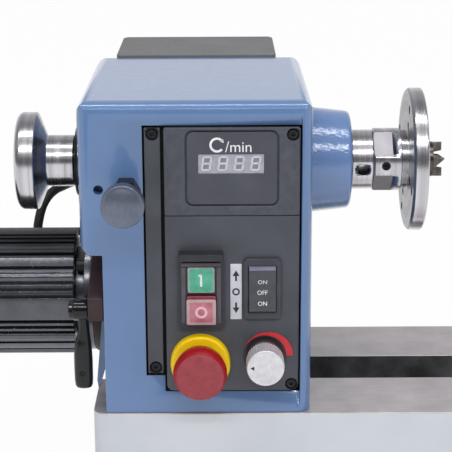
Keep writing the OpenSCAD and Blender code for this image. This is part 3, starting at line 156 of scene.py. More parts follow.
def ground(name, pale, dark, stretch, line, rough, bump, metallic=1.0):
    """Metal ground or brushed one way: long scratches in cloudy patches. Sizes in mm."""
    cloud = 25
    finish, tree, shader, place = new_finish(name, rough[0], metallic)
    drawn = add(tree, "Mapping", {"Vector": place, "Scale": stretch})[0]
    marks = add(tree, "TexNoise", {"Vector": drawn, "Scale": 1 / (line * MM), "Detail": 5, "Roughness": 0.6})
    slow = add(tree, "TexNoise", {"Vector": place, "Scale": 1 / (cloud * MM), "Detail": 5, "Roughness": 0.6})
    both = add(tree, "Math", {0: marks["Fac"], 1: slow["Fac"]}, operation="ADD")[0]
    dress(tree, shader, pale, dark, both, (0.75, 1.25), marks["Fac"], rough, bump)
    return finish


# Gloss enamel on filled iron: bright reflections broken by a soft orange peel
blue_enamel = moulded("blue_enamel", "#5f7eab", "#5877a3", 9.0, (0.22, 0.26), 0.0012, 90,
                      Coat_Weight=0.7, Coat_Roughness=0.05)
# The same on the unfilled boss: a rough skin that breaks the highlights, and a paler blue as painted light on the
# boss's top
boss_enamel_painted_light = moulded("boss_enamel_painted_light", "#6886b5", "#607fac", 2.2, (0.16, 0.24), 0.25, 80,
                      Coat_Weight=1.0, Coat_Roughness=0.03)
# Painted shade in the gaps round the panel plates, in their pocket and in the screws' counterbores: a dull dark
# line
gap_shade = moulded("gap_shade", "#17181c", "#101114", 1.0, (0.7, 0.85), 0.02, 6)
# Stoved paint on the bed's sides: pale grey, with a slight satin grain
bed_paint = moulded("bed_paint", "#ced2d8", "#c4c8cf", 2.5, (0.35, 0.45), 0.02, 60)
# Iron inside the slot: dull, darkened as painted shade of the slot, lighter and darker in blotches
slot_iron_shade = moulded("slot_cast_iron_shade", "#4f4e50", "#1c1c1d", 1.8, (0.6, 0.8), 0.08, 22)
# Ways ground along their length: silver-brown with long scratches
ground_iron = ground("ground_cast_iron", "#d4cecf", "#bab4b5", (0.03, 1, 1), 0.9, (0.34, 0.5), 0.008, 0.7)
# Bright turned steel: mirror bands and fine tool rings
turned_steel = lathe_turned("bright_turned_steel", "#d6d5d9", "#bdbcc1", 0.7, (0.16, 0.29), 0.006)
# Steel faced square: duller, with coarser rings, and darker as painted shade on the faceplate's back
faced_steel_shade = lathe_turned("faced_steel_shade", "#a5a4a8", "#8b8a8f", 1.1, (0.24, 0.38), 0.012)
# Steel milled flat: paler, because its cutter marks scatter the light
milled_steel = ground("milled_steel", "#a9a7ab", "#918f94", (1, 1, 0.1), 0.8, (0.38, 0.52), 0.012)
# Walls of drilled holes: dark, as painted shade inside the holes
bore_shade = moulded("bore_shade", "#222225", "#141416", 0.8, (0.4, 0.55), 0.01, 4, 0.5)
# Hardened steel: darker and browner, with tool rings
hardened_steel = lathe_turned("hardened_tool_steel", "#77746f", "#54514e", 0.6, (0.2, 0.36), 0.01)
# Chemically blacked steel: almost black, with a soft oily gloss
black_oxide = moulded("black_oxide", "#2c2d31", "#1b1c1f", 0.8, (0.3, 0.45), 0.012, 8, 0.6)
# Blacked and brushed steel: slate grey with a dull sheen
slate_steel = ground("slate_steel", "#7b8293", "#626978", (1, 1, 0.15), 0.4, (0.3, 0.4), 0.005, 0.8)
# Motor enamel with metal flake: grey where it mirrors the floor, black in the gaps
black_enamel = moulded("black_enamel", "#67686e", "#5b5c62", 3.5, (0.2, 0.28), 0.002, 18, 0.85)
# The same on the upper fins, darker and duller: painted shade on the top of the motor
shaded_fin_enamel = moulded("shaded_fin_enamel", "#34353a", "#26272b", 3.5, (0.4, 0.5), 0.002, 18, 0.6)
# Black motor plate tinted a dull dark maroon: a painted brown reflection on its black paint
maroon_reflection_iron = moulded("maroon_reflection_iron", "#3a2226", "#2a181b", 1.6, (0.45, 0.6), 0.02, 9)
# Lacquer on the lever: near black, with sharp white glints
black_lacquer = moulded("black_lacquer", "#151619", "#0e0f11", 3.0, (0.14, 0.2), 0.004, 9,
                        Coat_Weight=0.35, Coat_Roughness=0.03, Specular_IOR_Level=0.25)
# Black polycarbonate: dark, smooth, softly glossy
black_plastic = moulded("black_polycarbonate", "#2b2d32", "#212226", 0.6, (0.3, 0.4), 0.006, 12)
# Smoked polycarbonate of the switch frame: a dull purple grey
smoked_plastic = moulded("smoked_polycarbonate", "#56525c", "#48454e", 0.7, (0.25, 0.36), 0.006, 10)
# Rocker skin: a shade paler than its frame, finely etched
rocker_plastic = moulded("rocker_polycarbonate", "#494c53", "#3d4046", 0.7, (0.36, 0.46), 0.01, 8)
# Upper end of the rocker: a paler lavender, as a painted highlight where it faces up
rocker_end_highlight = moulded("rocker_end_highlight", "#7d7c92", "#6a697e", 0.7, (0.3, 0.4), 0.005, 6)
# Rocker frame: between the panel's grey and black
rocker_frame = moulded("rocker_frame", "#3c3f46", "#33363c", 0.6, (0.32, 0.42), 0.006, 12)
# Rubber of lead and belt: matt black with a slight bloom
rubber = moulded("black_rubber", "#2b2b2d", "#1d1d1f", 1.2, (0.6, 0.75), 0.015, 10)
# Powder coat: mid grey with a fine pebble
grey_powder = moulded("grey_powder", "#6e6e6f", "#646465", 1.6, (0.45, 0.6), 0.02, 45)
# ABS panel plates: dark slate, spark-eroded so that it scatters the light
panel_abs = moulded("panel_abs", "#4b4e57", "#42454d", 0.9, (0.42, 0.6), 0.015, 22)
# Display plate: a coarser, leathery texture
display_abs = moulded("display_abs", "#4e515b", "#3f424b", 1.7, (0.42, 0.62), 0.05, 7)
# Film over the display bezel: smooth and even
bezel_abs = moulded("bezel_abs", "#484a56", "#3f414b", 0.5, (0.32, 0.42), 0.004, 25)
# Filter over the digits: grey, semi-gloss, faintly cloudy
filter_plastic = moulded("filter_plastic", "#a9a9b3", "#9898a2", 1.2, (0.2, 0.3), 0.003, 5)
# Shaded hollows of the digits: a darker cast of the same plastic
hollow_plastic = moulded("hollow_plastic", "#85858f", "#777781", 1.0, (0.3, 0.4), 0.003, 3)
# Segments of the unlit digits: milky
segment_plastic = moulded("segment_plastic", "#cdcdd6", "#bcbcc5", 0.8, (0.3, 0.4), 0.002, 4)
# Solder mask of the circuit board: green, semi-gloss
solder_mask = moulded("solder_mask", "#2f6b40", "#27573a", 1.0, (0.3, 0.4), 0.01, 6)
# Cap of the start button: milky and glossy
milky_cap = moulded("milky_cap", "#98a5a1", "#83928d", 0.8, (0.18, 0.3), 0.006, 9, Coat_Weight=0.4)
# Cap of the stop button: milky, takes on its pink
milky_pink_cap = moulded("milky_pink_cap", "#bba0a3", "#a98b8f", 0.8, (0.18, 0.3), 0.006, 9, Coat_Weight=0.4)
# Plate of the start button: green, cloudy through its cap
green_pc = moulded("green_pc", "#57b497", "#2a9b76", 0.8, (0.22, 0.34), 0.006, 8, Coat_Weight=0.4)
# Body of the stop button: deep red, seen on its sides
red_pc = moulded("red_pc", "#a0424f", "#86303c", 0.8, (0.24, 0.36), 0.006, 9, Coat_Weight=0.4)
# Plate of the stop button: pink, cloudy through its cap
pink_pc = moulded("pink_pc", "#bf7b88", "#a65363", 0.8, (0.24, 0.36), 0.006, 7, Coat_Weight=0.4)
# Nylon of the emergency stop: strong red, smooth
stop_red = moulded("stop_red", "#a20e1a", "#8d0a14", 0.9, (0.3, 0.42), 0.008, 14, Specular_IOR_Level=0.25)
# The same nylon etched matt: a paler face
stop_red_matt = moulded("stop_red_matt", "#a04049", "#8d353d", 0.7, (0.55, 0.7), 0.02, 6)
# Yellow ABS ring: even, semi-gloss
signal_yellow = moulded("signal_yellow", "#ffd808", "#f0c605", 0.9, (0.35, 0.48), 0.008, 16)
# Vinyl of the label: matt white
label_vinyl = moulded("label_vinyl", "#d2d3dc", "#c2c3cd", 1.0, (0.5, 0.6), 0.004, 6)
# Screen ink of the marks: flat white
white_ink = moulded("white_ink", "#ececef", "#dedee3", 0.7, (0.5, 0.6), 0.004, 4)
# Ink of the stop mark: flat pale pink
pink_ink = moulded("pink_ink", "#ecc0c9", "#dfacb7", 0.7, (0.5, 0.6), 0.004, 4)
# Ink of the label's marks: flat dark blue-grey
dark_ink = moulded("dark_ink", "#262833", "#1d1e27", 0.7, (0.5, 0.6), 0.004, 4)
# Screen ink of the speed scale: strong red
red_ink = moulded("red_ink", "#d8323f", "#c52634", 0.8, (0.45, 0.55), 0.004, 9)
# Satin anodised aluminium: pale, with a fine even sheen
satin_aluminium = moulded("satin_anodised_aluminium", "#e6e5ea", "#d6d5da", 0.5, (0.35, 0.5), 0.006, 4, 0.6)


# ---- making pieces

def add_object(name, data):
    obj = bpy.data.objects.new(name, data)
    SCENE.collection.objects.link(obj)
    return obj


def piece(name, bm, place, body, finishes, stands_for=(), angle=35, shade=True):
    """Turn a bmesh into a piece that rides on a body. Shaded pieces are smooth up to an angle."""
    finishes = finishes if isinstance(finishes, list) else [finishes]
    bm.transform(place)
    mesh = bpy.data.meshes.new(name)
    bm.to_mesh(mesh)
    bm.free()
    if shade:
        mesh.polygons.foreach_set("use_smooth", [True] * len(mesh.polygons))
    mesh.set_sharp_from_angle(angle=radians(angle))
    for finish in finishes:
        mesh.materials.append(finish)
    obj = add_object(name, mesh)
    if body:
        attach(obj, body)
    if stands_for:
        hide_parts(*stands_for)
    return obj


def finished(node, bm, finishes, place=IN_PLACE, **look):
    """A piece that stands for a CAD node and rides on its body."""
    return piece(node + "_finished", bm, place, BODY_OF[node], finishes, [node], **look)


def tidy(bm, reach=0.002):
    """Merge doubles and point the faces outwards."""
    bmesh.ops.remove_doubles(bm, verts=bm.verts, dist=reach)
    bmesh.ops.recalc_face_normals(bm, faces=bm.faces)
    return bm


def round_edges(bm, edges, width, segments=2):
    bmesh.ops.bevel(bm, geom=edges, offset=width, affect="EDGES", segments=segments, profile=0.5, material=-1)


def hard_edges(bm, degrees=30):
    return [e for e in bm.edges if e.is_manifold and e.calc_face_angle() > radians(degrees)]


def middle_of(face):
    """A face's middle, in mm from the casting's foot."""
    return face.calc_center_median() / MM - HEAD


def mark_faces(bm, marked):
    """Give each face the finish that a function chooses for it."""
    for face in bm.faces:
        face.material_index = marked(face)


def cad_copy(node):
    """A merged copy of a CAD node's mesh, with its flat faces whole again."""
    bm = bmesh.new()
    bm.from_mesh(frame["nodes"][node].data)
    bmesh.ops.remove_doubles(bm, verts=bm.verts, dist=0.002 * MM)
    bmesh.ops.dissolve_limit(bm, angle_limit=radians(0.3), verts=bm.verts, edges=bm.edges)
    return bm


def keep_flat(obj):
    """Shade the large flat faces flat, so that only the rounded edges turn the light."""
    obj.modifiers.new("flat_faces", "WEIGHTED_NORMAL").keep_sharp = True


def between(spot, sides):
    """Whether a point lies between closed rims: a line to its right crosses an odd number of sides."""
    crossed = [a.x + (spot.y - a.y) * (b.x - a.x) / (b.y - a.y)
               for a, b in sides if (a.y > spot.y) != (b.y > spot.y)]
    return sum(x > spot.x for x in crossed) % 2 == 1


def fill_flat(bm, rims, normal):
    """Fill the space between rims that lie in one plane, and shade it flat."""
    verts = list(dict.fromkeys(v for edge in rims for v in edge.verts))
    index = {v: i for i, v in enumerate(verts)}
    turn = Vector(normal).rotation_difference(Vector((0, 0, 1))).to_matrix()
    flat = [(turn @ v.co).xy / MM for v in verts]
    pairs = [(index[e.verts[0]], index[e.verts[1]]) for e in rims]
    sides = [(flat[a], flat[b]) for a, b in pairs]
    spots, _, triangles, origins = delaunay_2d_cdt(flat, pairs, [], 0, 1e-5)[:4]
    for corners in triangles:
        middle = sum((spots[c] for c in corners), Vector((0, 0))) / 3
        if between(middle, sides) and all(origins[c] for c in corners):
            bm.faces.new([verts[origins[c][0]] for c in corners]).smooth = False


def open_flat(bm, faces, rims=()):
    """Take out flat faces and the edges between them, and leave their rims."""
    bmesh.ops.delete(bm, geom=faces, context="FACES_ONLY")
    bmesh.ops.delete(bm, geom=[e for e in bm.edges if e.is_wire and e not in rims], context="EDGES")


def flat_groups(bm):
    """Groups of faces side by side in one plane."""
    beside = {}
    for edge in bm.edges:
        if edge.is_manifold and edge.calc_face_angle() < 1e-3 and max(len(f.verts) for f in edge.link_faces) > 4:
            a, b = edge.link_faces
            beside.setdefault(a, set()).add(b)
            beside.setdefault(b, set()).add(a)
    groups, seen = [], set()
    for face in beside:
        group, todo = set(), [face]
        while todo and face not in seen:
            near = todo.pop()
            if near not in group:
                group.add(near)
                todo += beside[near]
        seen |= group
        if group:
            groups.append(group)
    return groups


def refill(bm):
    """Fill flat faces with holes afresh, because rounding their edges leaves them badly divided."""
    bm.faces.index_update()
    for group in flat_groups(bm):
        faces = sorted(group, key=lambda f: f.index)
        normal = max(faces, key=lambda f: f.calc_area()).normal.copy()
        rims = list(dict.fromkeys(e for f in faces for e in f.edges if sum(g in group for g in e.link_faces) == 1))
        open_flat(bm, faces, rims)
        fill_flat(bm, rims, normal)


def softened(node, width, finishes, marked=lambda face: 0, degrees=30, segments=2):
    """A CAD node with its hard edges rounded off by a width in mm. The rims of faces marked 1 stay sharp."""
    bm = cad_copy(node)
    mark_faces(bm, marked)
    edges = [e for e in hard_edges(bm, degrees) if all(f.material_index != 1 for f in e.link_faces)]
    round_edges(bm, edges, width * MM, segments)
    for face in bm.faces:
        face.smooth = True
    refill(bm)
    mark_faces(bm, marked)
    keep_flat(finished(node, bm, finishes, shade=False))


def rim_loops(faces):
    """The rims of some faces as closed rows of points, with the faces on their left."""
    ahead = {}
    for face in faces:
        for corner in face.loops:
            if not all(other in faces for other in corner.edge.link_faces):
                ahead[corner.vert] = corner.link_loop_next.vert
    loops = []
    while ahead:
        first, vert = ahead.popitem()
        loop = [first]
        while vert is not first:
            loop.append(vert)
            vert = ahead.pop(vert)
        loops.append(loop)
    return loops


def skin(bm, rows):
    """Faces between rows of points, each row closed on itself."""
    for low, high in zip(rows, rows[1:]):
        for i in range(len(low)):
            j = (i + 1) % len(low)
            bm.faces.new((low[i], low[j], high[j], high[i])).smooth = True


def eased(node, width, finishes, marked=lambda face: 0):
    """A CAD plate with the rims of its front face, towards the operator, rounded off by a width in mm."""
    steps, reach, width = 3, 0.02 * MM, width * MM
    bm = cad_copy(node)
    for face in bm.faces:
        face.smooth = True
    front = min(v.co.y for v in bm.verts)
    faces = [f for f in bm.faces if f.normal.y < -0.999 and f.calc_center_median().y < front + reach]
    loops = sorted(rim_loops(faces), key=len, reverse=True)    # longest first, so that each run fills alike
    open_flat(bm, faces)
    rims = []
    for loop in loops:
        count, slides = len(loop), []
        for i, vert in enumerate(loop):
            ways = [(vert.co - loop[i - 1].co).normalized(), (loop[(i + 1) % count].co - vert.co).normalized()]
            inward = [Vector((-way.z, 0, way.x)) for way in ways]
            slides.append((inward[0] + inward[1]) / (1 + inward[0].dot(inward[1])))
        rows = [loop]
        for k in range(1, steps + 1):
            turn = pi / 2 * k / steps
            back = Vector((0, width * (1 - sin(turn)), 0))
            rows.append([bm.verts.new(v.co + slide * width * (1 - cos(turn)) + back)
                         for v, slide in zip(loop, slides)])
        for vert in loop:
            vert.co.y += width
        skin(bm, rows)
        rims += [bm.edges.get((rows[-1][i], rows[-1][(i + 1) % count])) for i in range(count)]
    fill_flat(bm, rims, (0, -1, 0))
    mark_faces(bm, marked)
    finished(node, bm, finishes, shade=False)


def spun(outline, steps=96, axis="X"):
    """A turned shape from (place along the axis, radius) points. The axis is X, or Z for panel parts."""
    bm = bmesh.new()
    turn = (1, 0, 0) if axis == "X" else (0, 0, 1)
    points = [bm.verts.new((a, 0, r) if axis == "X" else (r, 0, a)) for a, r in outline]
    edges = [bm.edges.new(pair) for pair in zip(points, points[1:])]
    bmesh.ops.spin(bm, geom=points + edges, axis=turn, cent=(0, 0, 0), angle=2 * pi, steps=steps, use_merge=True)
    return tidy(bm)


def arc(along, radius, r, start, end, steps=5):
    """Points of an edge radius for a turned outline, by angle from the axis direction."""
    points = [polar(r, start + (end - start) * i / steps) for i in range(steps + 1)]
    return [(along + x, radius + y) for x, y in points]


def raise_faces(bm, height):
    """Give flat faces a thickness."""
    raised = bmesh.ops.extrude_face_region(bm, geom=bm.faces[:])
    top = [v for v in raised["geom"] if isinstance(v, bmesh.types.BMVert)]
    bmesh.ops.translate(bm, vec=(0, 0, height), verts=top)


def pad(width, height, corner, low, high, soft=0.4, segments=3):
    """A plate with round corners between two heights, its front edges softened."""
    bm = bmesh.new()
    bmesh.ops.create_grid(bm, x_segments=1, y_segments=1, size=0.5)
    bmesh.ops.scale(bm, vec=(width, height, 1), verts=bm.verts)
    bmesh.ops.translate(bm, vec=(0, 0, low), verts=bm.verts)
    bmesh.ops.bevel(bm, geom=bm.verts[:], offset=corner, affect="VERTICES", segments=6, profile=0.5, material=-1)
    raise_faces(bm, high - low)
    tidy(bm, 0.0005)
    rim = [e for e in bm.edges if all(abs(v.co.z - high) < 1e-4 for v in e.verts)]
    if soft:
        round_edges(bm, rim, soft, segments)
    return bm


def lettering(words, size, height):
    """Plain letters as a thin raised shape, its box centred on the origin."""
    curve = bpy.data.curves.new("letters", "FONT")
    curve.body, curve.size, curve.extrude = words, size, height / 2
    curve.resolution_u = 4
    obj = add_object("letters", curve)
    mesh = bpy.data.meshes.new_from_object(obj.evaluated_get(bpy.context.evaluated_depsgraph_get()))
    bm = bmesh.new()
    bm.from_mesh(mesh)
    bpy.data.objects.remove(obj)
    bpy.data.curves.remove(curve)
    bpy.data.meshes.remove(mesh)
    middle = [(min(v.co[i] for v in bm.verts) + max(v.co[i] for v in bm.verts)) / 2 for i in range(3)]
    bmesh.ops.translate(bm, vec=-Vector(middle), verts=bm.verts)
    return tidy(bm, 0.0002)


def arrow_head(radius, low, high, spot, pointing):
    """A small triangle between two heights that points at an angle in degrees."""
    bm = bmesh.new()
    bmesh.ops.create_cone(bm, cap_ends=True, segments=3, radius1=radius, radius2=radius, depth=high - low)
    bm.transform(Matrix.Translation((spot[0], spot[1], (low + high) / 2))
                 @ Matrix.Rotation(radians(pointing - 90), 4, "Z"))
    return bm


def flat_ring(inner, outer, start, end, low, high, steps=24):
    """Part of a flat ring, by angle in degrees, with a thickness."""
    bm = bmesh.new()
    first = [bm.verts.new((*polar(r, start), z))
             for r, z in ((inner, low), (outer, low), (outer, high), (inner, high))]
    face = bm.faces.new(first)
    closed = abs(end - start) >= 360
    bmesh.ops.spin(bm, geom=[face] + face.edges[:] + first, axis=(0, 0, 1), cent=(0, 0, 0),
                   angle=radians(end - start), steps=steps, use_merge=closed)
    if closed:
        bmesh.ops.delete(bm, geom=[face], context="FACES_ONLY")
    return tidy(bm, 0.0005)


def join(bm, other, place=IN_PLACE):
    """Add another bmesh to a bmesh."""
    other.transform(place)
    mesh = bpy.data.meshes.new("join")
    other.to_mesh(mesh)
    other.free()
    bm.from_mesh(mesh)
    bpy.data.meshes.remove(mesh)


# ---- camera, light and floor

def aim_camera():
    """The photograph's own view, in a square frame of 452 pixels."""
    frame_px, focal_px, spot = 452, 1472.43, (-0.0561, -1.1522, 0.5219)
    yaw, pitch, roll = (radians(a) for a in (0.0947, 15.9507, -0.2499))
    lens = bpy.data.cameras.new("camera")
    lens.sensor_width = 36
    lens.lens = lens.sensor_width * focal_px / frame_px
    lens.clip_start, lens.clip_end = 0.05, 50
    camera = add_object("camera", lens)
    level = Matrix.Rotation(-yaw, 4, "Z") @ Matrix.Rotation(pi / 2 - pitch, 4, "X")
    camera.matrix_world = Matrix.Translation(spot) @ level @ Matrix.Rotation(roll, 4, "Z")
    SCENE.camera = camera


def strip_lamp(name, height, reach, watts):
    """A long lamp along the lathe, at an angle above the operator's horizon."""
    middle, length, width = Vector((-0.08, 0, 0.25)), 2.4, 0.08
    lamp = bpy.data.lights.new(name, "AREA")
    lamp.shape, lamp.size, lamp.size_y, lamp.energy = "RECTANGLE", length, width, watts
    obj = add_object(name, lamp)
    ahead, up = polar(1, height)
    away = Vector((0, -ahead, up))
    obj.location = middle + away * reach
    obj.rotation_euler = (-away).to_track_quat("-Z", "Y").to_euler()
    obj.visible_camera = False


# What polished metal sees of the room: degrees up from the operator's horizon and over to the back, and strength
ROOM = [(-180, 1.0), (-4, 1.0), (2, 0.13), (21, 0.13), (25, 0.4), (29, 0.13), (46, 0.18), (54, 0.42), (66, 0.45),
        (90, 0.4), (97, 0.22), (112, 0.24), (128, 0.44), (150, 0.52), (162, 0.76), (180, 0.84)]


def light_studio():
    """Two strip lamps in an evenly lit room, whose dark side shows only in glossy surfaces."""
    even, white = 0.55, 1.0        # strength for dull surfaces and for the camera
    strip_lamp("overhead_strip", 79, 1.65, 13)
    strip_lamp("front_strip", 41, 2.0, 19)
    world = bpy.data.worlds.new("studio")
    world.use_nodes = True
    SCENE.world = world
    tree = world.node_tree
    ray = add(tree, "LightPath")
    way = add(tree, "SeparateXYZ", {0: add(tree, "TexCoord")["Generated"]})
    ahead = add(tree, "Math", {0: way["Y"], 1: -1}, operation="MULTIPLY")
    angle = add(tree, "Math", {0: way["Z"], 1: ahead[0]}, operation="ARCTAN2")
    turn = add(tree, "MapRange", {"Value": angle[0], "From Min": -pi, "From Max": pi})
    room = add(tree, "ValToRGB", {0: turn[0]})
    spots = room[0].node.color_ramp.elements
    for degrees, _ in ROOM[1:-1]:
        spots.new((degrees + 180) / 360)
    for spot, (_, strength) in zip(spots, ROOM):
        spot.color = (strength, strength, strength, 1)
    polished = add(tree, "Math", {0: ray["Is Glossy Ray"], 1: ray["Is Transmission Ray"]}, operation="MAXIMUM")
    lit = add(tree, "Mix", {FACTOR: polished[0], NUMBER_A: even, NUMBER_B: room[0]}, data_type="FLOAT")
    shown = add(tree, "Mix", {FACTOR: ray["Is Camera Ray"], NUMBER_A: lit[0], NUMBER_B: white}, data_type="FLOAT")
    backdrop = tree.nodes["Background"]
    tree.links.new(shown[0], backdrop.inputs["Strength"])
    backdrop.inputs["Color"].default_value = linear("#fcfcff")


def lay_floor():
    """A pale floor that looks white to the camera and to polished metal, and still takes a shadow."""
    half, glow = 6, 0.97           # half the floor's side in metres, and its share of even white
    bm = bmesh.new()
    bmesh.ops.create_grid(bm, x_segments=1, y_segments=1, size=half)
    finish, tree, shader, place = new_finish("floor_paper", 0.9)
    grain = add(tree, "TexNoise", {"Vector": place, "Scale": 40, "Detail": 3})
    tone = add(tree, "MapRange", {"Value": grain["Fac"], "To Min": 0.84, "To Max": 0.88})
    tree.links.new(tone[0], shader.inputs["Base Color"])
    ray = add(tree, "LightPath")
    seen = add(tree, "Math", {0: ray["Is Camera Ray"], 1: ray["Is Glossy Ray"]}, operation="MAXIMUM")
    seen = add(tree, "Math", {0: seen[0], 1: ray["Is Transmission Ray"]}, operation="MAXIMUM")
    share = add(tree, "Math", {0: seen[0], 1: glow}, operation="MULTIPLY")
    white = add(tree, "Emission", {"Color": (1, 1, 1, 1), "Strength": 1.0})
    mix = add(tree, "MixShader", {0: share[0], 1: shader.outputs[0], 2: white[0]})
    tree.links.new(mix[0], tree.nodes["Material Output"].inputs["Surface"])
    mesh = bpy.data.meshes.new("floor")
    bm.to_mesh(mesh)
    bm.free()
    mesh.materials.append(finish)
    floor = add_object("floor", mesh)


# ---- motor lead and belt

LEAD_ROUTE = [(-66.5, 140, 129), (-89, 140, 129), (-99.5, 138, 129), (-108.5, 132, 129), (-114.5, 122.5, 129),
              (-118.5, 114.5, 129), (-122, 106.5, 129), (-125.5, 98.5, 129), (-130.7, 87.5, 126.5),
              (-135.5, 78.5, 119.5), (-138.4, 72, 109), (-139.8, 70, 97), (-139.8, 70, 71)]


def smooth_path(points, steps):
    """A smooth curve through the points."""
    points = [Vector(p) for p in points]
    line = []
    for i in range(len(points) - 1):
        a, b, c, d = points[max(i - 1, 0)], points[i], points[i + 1], points[min(i + 2, len(points) - 1)]
        for k in range(steps):
            t = k / steps
            line.append(0.5 * ((2 * b) + (c - a) * t + (2 * a - 5 * b + 4 * c - d) * t * t
                               + (3 * b - a - 3 * c + d) * t ** 3))
    return line + [points[-1]]


def swept(line, radius, sides=20):
    """A round tube along a line, its ends closed."""
    bm = bmesh.new()
    side = (line[1] - line[0]).orthogonal().normalized()
    loops = []
    for i, point in enumerate(line):
        ahead = (line[min(i + 1, len(line) - 1)] - line[max(i - 1, 0)]).normalized()
        side = (side - ahead * side.dot(ahead)).normalized()
        turn = Matrix((side, ahead.cross(side), ahead)).transposed().to_4x4()
        made = bmesh.ops.create_circle(bm, segments=sides, radius=radius, cap_ends=i in (0, len(line) - 1),
                                       matrix=Matrix.Translation(point) @ turn)
        loops.append(list({e for v in made["verts"] for e in v.link_edges if e.is_wire or e.is_boundary}))
    for a, b in zip(loops, loops[1:]):
        bmesh.ops.bridge_loops(bm, edges=a + b)
    return tidy(bm)


def make_lead():
    """Motor lead from the controller box to the motor's terminal box, which swings with the motor."""
    thick = 8.0
    line = smooth_path(LEAD_ROUTE, 4)
    lead = piece("motor_lead_finished", swept(line, thick / 2), at(0, 0, 0), None, rubber, ["motor_lead"])
    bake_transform(lead)


def make_belt():
    """Poly-V belt round both pulleys, ribbed inside and plain outside."""
    gap, big, small, steps = SPINDLE_Z - MOTOR_Z, 40.35, 22.35, 32
    middle, width, thick, ribs = -31, 19, 4, 8
    edge, root, flat = 0.3, 1.0, 0.25          # outer chamfer, depth of the ribs, half the flat on each
    left, right = middle - width / 2, middle + width / 2
    section = [(left, thick - edge), (left + edge, thick), (right - edge, thick), (right, thick - edge)]
    for i in range(ribs):
        start = right - width * i / ribs
        tip = start - width / ribs / 2
        section += [(start, root), (tip + flat, 0.0), (tip - flat, 0.0)]
    section.append((left, root))
    lean = asin((big - small) / gap)
    bm = bmesh.new()
    rings = []
    for start, end, radius, z in ((-lean, pi + lean, big, 0), (pi + lean, 2 * pi - lean, small, -gap)):
        for i in range(steps + 1):
            a = start + (end - start) * i / steps
            out = Vector((0, cos(a), sin(a)))
            rings.append([bm.verts.new(Vector((x, 0, z)) + out * (radius + r)) for x, r in section])
    skin(bm, rings + rings[:1])
    made = piece("belt_finished", tidy(bm), at(0, 0, SPINDLE_Z), None, rubber, ["belt"])
    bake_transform(made)


# ---- casting, bed and controller box

POCKET_X, POCKET_Z, POCKET_DEPTH = (-44, 79.3), (10, 234), (0.4, 8)     # limits of the panel's pocket
BOSS_X = 90                        # the boss starts before this


def make_bed():
    """Ground way tops, painted sides, and iron inside the slot darkened as painted shade."""
    top_skin, slot = 1 * MM, 25.3 * MM
    bm = cad_copy("bed")
    round_edges(bm, hard_edges(bm, 40), 0.8 * MM)
    top = max(v.co.z for v in bm.verts)
    for face in bm.faces:
        middle = face.calc_center_median()
        if face.normal.z > 0.2 and middle.z > top - top_skin:
            face.material_index = 1
        # the slot's inner walls get the dark iron: painted shade
        elif abs(middle.y) < slot and abs(face.normal.x) < 0.9:
            face.material_index = 2
    keep_flat(finished("bed", bm, [bed_paint, ground_iron, slot_iron_shade]))


def casting_face(face):
    """Painted shade in the panel's pocket, rough-cast enamel round the boss in a paler blue as painted light,
    smooth enamel elsewhere.
    """
    middle = middle_of(face)
    limits = ((middle.x, POCKET_X), (middle.y - FRONT_Y, POCKET_DEPTH), (middle.z, POCKET_Z))
    sunk = all(low < place < high for place, (low, high) in limits)
    if sunk and (face.normal.y < -0.9 or abs(face.normal.y) < 0.1):
        return 1
    return 2 if middle.x > BOSS_X else 0


def make_castings():
    softened("headstock_casting", 0.6, [blue_enamel, gap_shade, boss_enamel_painted_light], casting_face, degrees=40)
    softened("belt_cover", 0.8, blue_enamel)
    softened("controller_box", 0.8, grey_powder)
    softened("controller_lid", 0.5, grey_powder)


# ---- turned parts on the spindle

def make_handwheel():
    """Grooved hub, dished face and rounded rim."""
    hub_end, hub_r, rim_r, bore = -97.5, 20.5, 39, 8.6
    outline = [(hub_end, bore), (hub_end, hub_r - 1.2)] + arc(-98.7, hub_r - 1.2, 1.2, 0, 90)
    outline += [(-104.0, hub_r), (-104.2, 20.2), (-104.6, 20.2), (-104.8, hub_r)]
    outline += [(-118.6, hub_r)] + arc(-118.6, 22.1, 1.6, 270, 204, 4)
    outline += [(-126.6, 37.2)] + arc(-128.4, 37.4, 1.6, 15, 90, 4)
    outline += [(-130.6, rim_r), (-130.8, 38.75), (-131.1, 38.75), (-131.3, rim_r)]
    outline += [(-137.4, rim_r)] + arc(-137.4, 33.4, 5.6, 90, 180, 7)
    outline += [(-143, 30.4)] + arc(-142, 29.6, 1.0, 180, 250, 3)
    outline += [(-133.4, 20.6)] + arc(-132.6, 19.4, 0.8, 60, 0, 3) + [(-132, bore), (hub_end, bore)]
    finished("handwheel", spun(outline, 128), turned_steel, at(0, 0, SPINDLE_Z))


def about_spindle(face):
    """A face's place along the spindle, its distance from the axis, and how far it faces outwards."""
    middle = middle_of(face) - Vector((0, 0, SPINDLE_Z))
    out = Vector((0, middle.y, middle.z))
    return middle.x, out.length, face.normal.dot(out.normalized())


def faceplate_face(face):
    """Painted shade in the holes, milled flats, and a faced back darkened as painted shade, on a turned plate."""
    along, radius, outward = about_spindle(face)
    if 167.5 < along < 179 and 24 < radius < 53 and abs(face.normal.x) < 0.3:
        return 1                   # walls of the screw holes
    if 144 < along < 155 and 17 < radius < 24.8 and abs(outward) < 0.5:
        return 1                   # walls of the set screws' holes
    if along < 156 and 20 < radius < 24.6 and outward > 0.8:
        return 2                   # flats for a wrench
    # the faced back, darkened as painted shade
    return 3 if face.normal.x < -0.7 and radius > 25.5 else 0


def spindle_face(face):
    """Painted shade on the walls of the tommy-bar holes in the collar."""
    along, radius, outward = about_spindle(face)
    return 1 if 125 < along < 138 and 8 < radius < 23.4 and abs(outward) < 0.5 else 0


def make_turned_parts():
    make_handwheel()
    softened("spindle", 0.35, [turned_steel, bore_shade], spindle_face)
    softened("faceplate", 0.4, [turned_steel, bore_shade, milled_steel, faced_steel_shade], faceplate_face)
    softened("spur_centre", 0.1, hardened_steel)
    softened("rear_bearing_cap", 0.4, black_oxide)
    softened("faceplate_screws", 0.2, black_oxide)


# ---- index plunger

